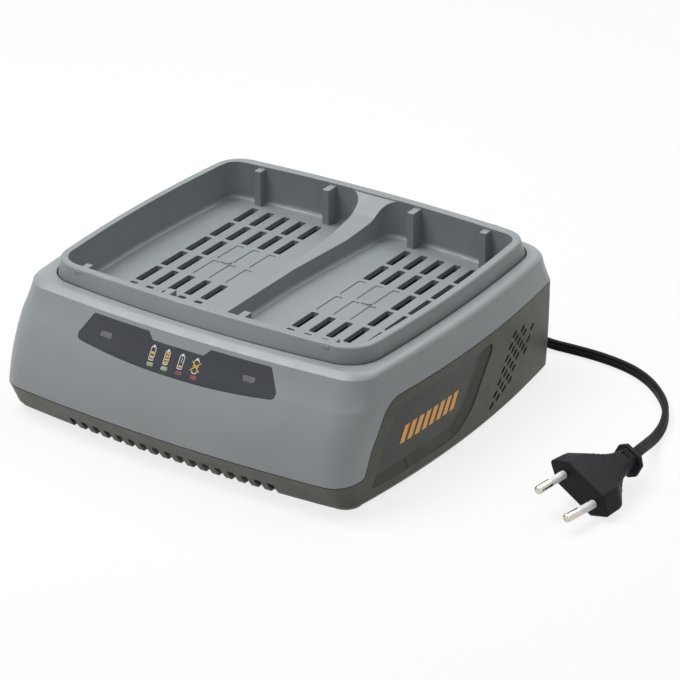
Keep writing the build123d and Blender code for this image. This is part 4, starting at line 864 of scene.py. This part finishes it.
def seen_directly(tree):
    """1 for rays that show the background: camera, mirror and clear ones."""
    path = tree.nodes.new("ShaderNodeLightPath")
    first = tree.nodes.new("ShaderNodeMath")
    first.operation = "MAXIMUM"
    tree.links.new(path.outputs["Is Camera Ray"], first.inputs[0])
    tree.links.new(path.outputs["Is Glossy Ray"], first.inputs[1])
    second = tree.nodes.new("ShaderNodeMath")
    second.operation = "MAXIMUM"
    tree.links.new(first.outputs[0], second.inputs[0])
    tree.links.new(path.outputs["Is Transmission Ray"], second.inputs[1])
    return second.outputs[0]


floor_material = bpy.data.materials.new("floor_white")
floor_material.use_nodes = True
floor_tree = floor_material.node_tree
floor_tree.nodes.clear()
diffuse = floor_tree.nodes.new("ShaderNodeBsdfDiffuse")
diffuse.inputs["Color"].default_value = (FLOOR_WHITE, FLOOR_WHITE, FLOOR_WHITE, 1)
glow = floor_tree.nodes.new("ShaderNodeEmission")
glow.inputs["Color"].default_value = (1, 1, 1, 1)
glow.inputs["Strength"].default_value = 1.0
share = floor_tree.nodes.new("ShaderNodeMath")
share.operation = "MULTIPLY"
share.inputs[1].default_value = FLOOR_GLOW
floor_tree.links.new(seen_directly(floor_tree), share.inputs[0])
mix = floor_tree.nodes.new("ShaderNodeMixShader")
floor_tree.links.new(share.outputs[0], mix.inputs["Fac"])
floor_tree.links.new(diffuse.outputs[0], mix.inputs[1])
floor_tree.links.new(glow.outputs[0], mix.inputs[2])
floor_out = floor_tree.nodes.new("ShaderNodeOutputMaterial")
floor_tree.links.new(mix.outputs[0], floor_out.inputs["Surface"])

floor_mesh = bpy.data.meshes.new("floor")
floor_corners = [(x * FLOOR_HALF, y * FLOOR_HALF, 0) for x, y in ((-1, -1), (1, -1), (1, 1), (-1, 1))]
floor_mesh.from_pydata(floor_corners, [], [(0, 1, 2, 3)])
floor = bpy.data.objects.new("floor", floor_mesh)
bpy.context.scene.collection.objects.link(floor)
floor_mesh.materials.append(floor_material)

world = bpy.data.worlds.new("studio")
bpy.context.scene.world = world
world.use_nodes = True
world_tree = world.node_tree
background = world_tree.nodes["Background"]
background.inputs["Color"].default_value = (0.95, 0.97, 1.0, 1)
background.inputs["Strength"].default_value = SKY
white = world_tree.nodes.new("ShaderNodeBackground")
white.inputs["Color"].default_value = (1, 1, 1, 1)
white.inputs["Strength"].default_value = 1.0
world_mix = world_tree.nodes.new("ShaderNodeMixShader")
world_tree.links.new(seen_directly(world_tree), world_mix.inputs["Fac"])
world_tree.links.new(background.outputs[0], world_mix.inputs[1])
world_tree.links.new(white.outputs[0], world_mix.inputs[2])
world_tree.links.new(world_mix.outputs[0], world_tree.nodes["World Output"].inputs["Surface"])


LAMP_TARGET = Vector((0, 0, 0.04))


def softbox(name, place, size, power):
    """A rectangular lamp that faces the casing."""
    data = bpy.data.lights.new(name, "AREA")
    data.shape = "RECTANGLE"
    data.size, data.size_y = size
    data.energy = power
    lamp = bpy.data.objects.new(name, data)
    lamp.location = place
    lamp.rotation_euler = (LAMP_TARGET - Vector(place)).to_track_quat("-Z", "Y").to_euler()
    bpy.context.scene.collection.objects.link(lamp)


softbox("key_above", (-0.40, -0.22, 1.05), (0.8, 0.7), 11.6)
softbox("top_rear", (0.10, 0.60, 0.95), (1.1, 0.5), 5.2)
softbox("fill_right", (1.05, -0.55, 0.85), (0.5, 0.5), 1.5)

bpy.context.scene.view_settings.view_transform = "Standard"
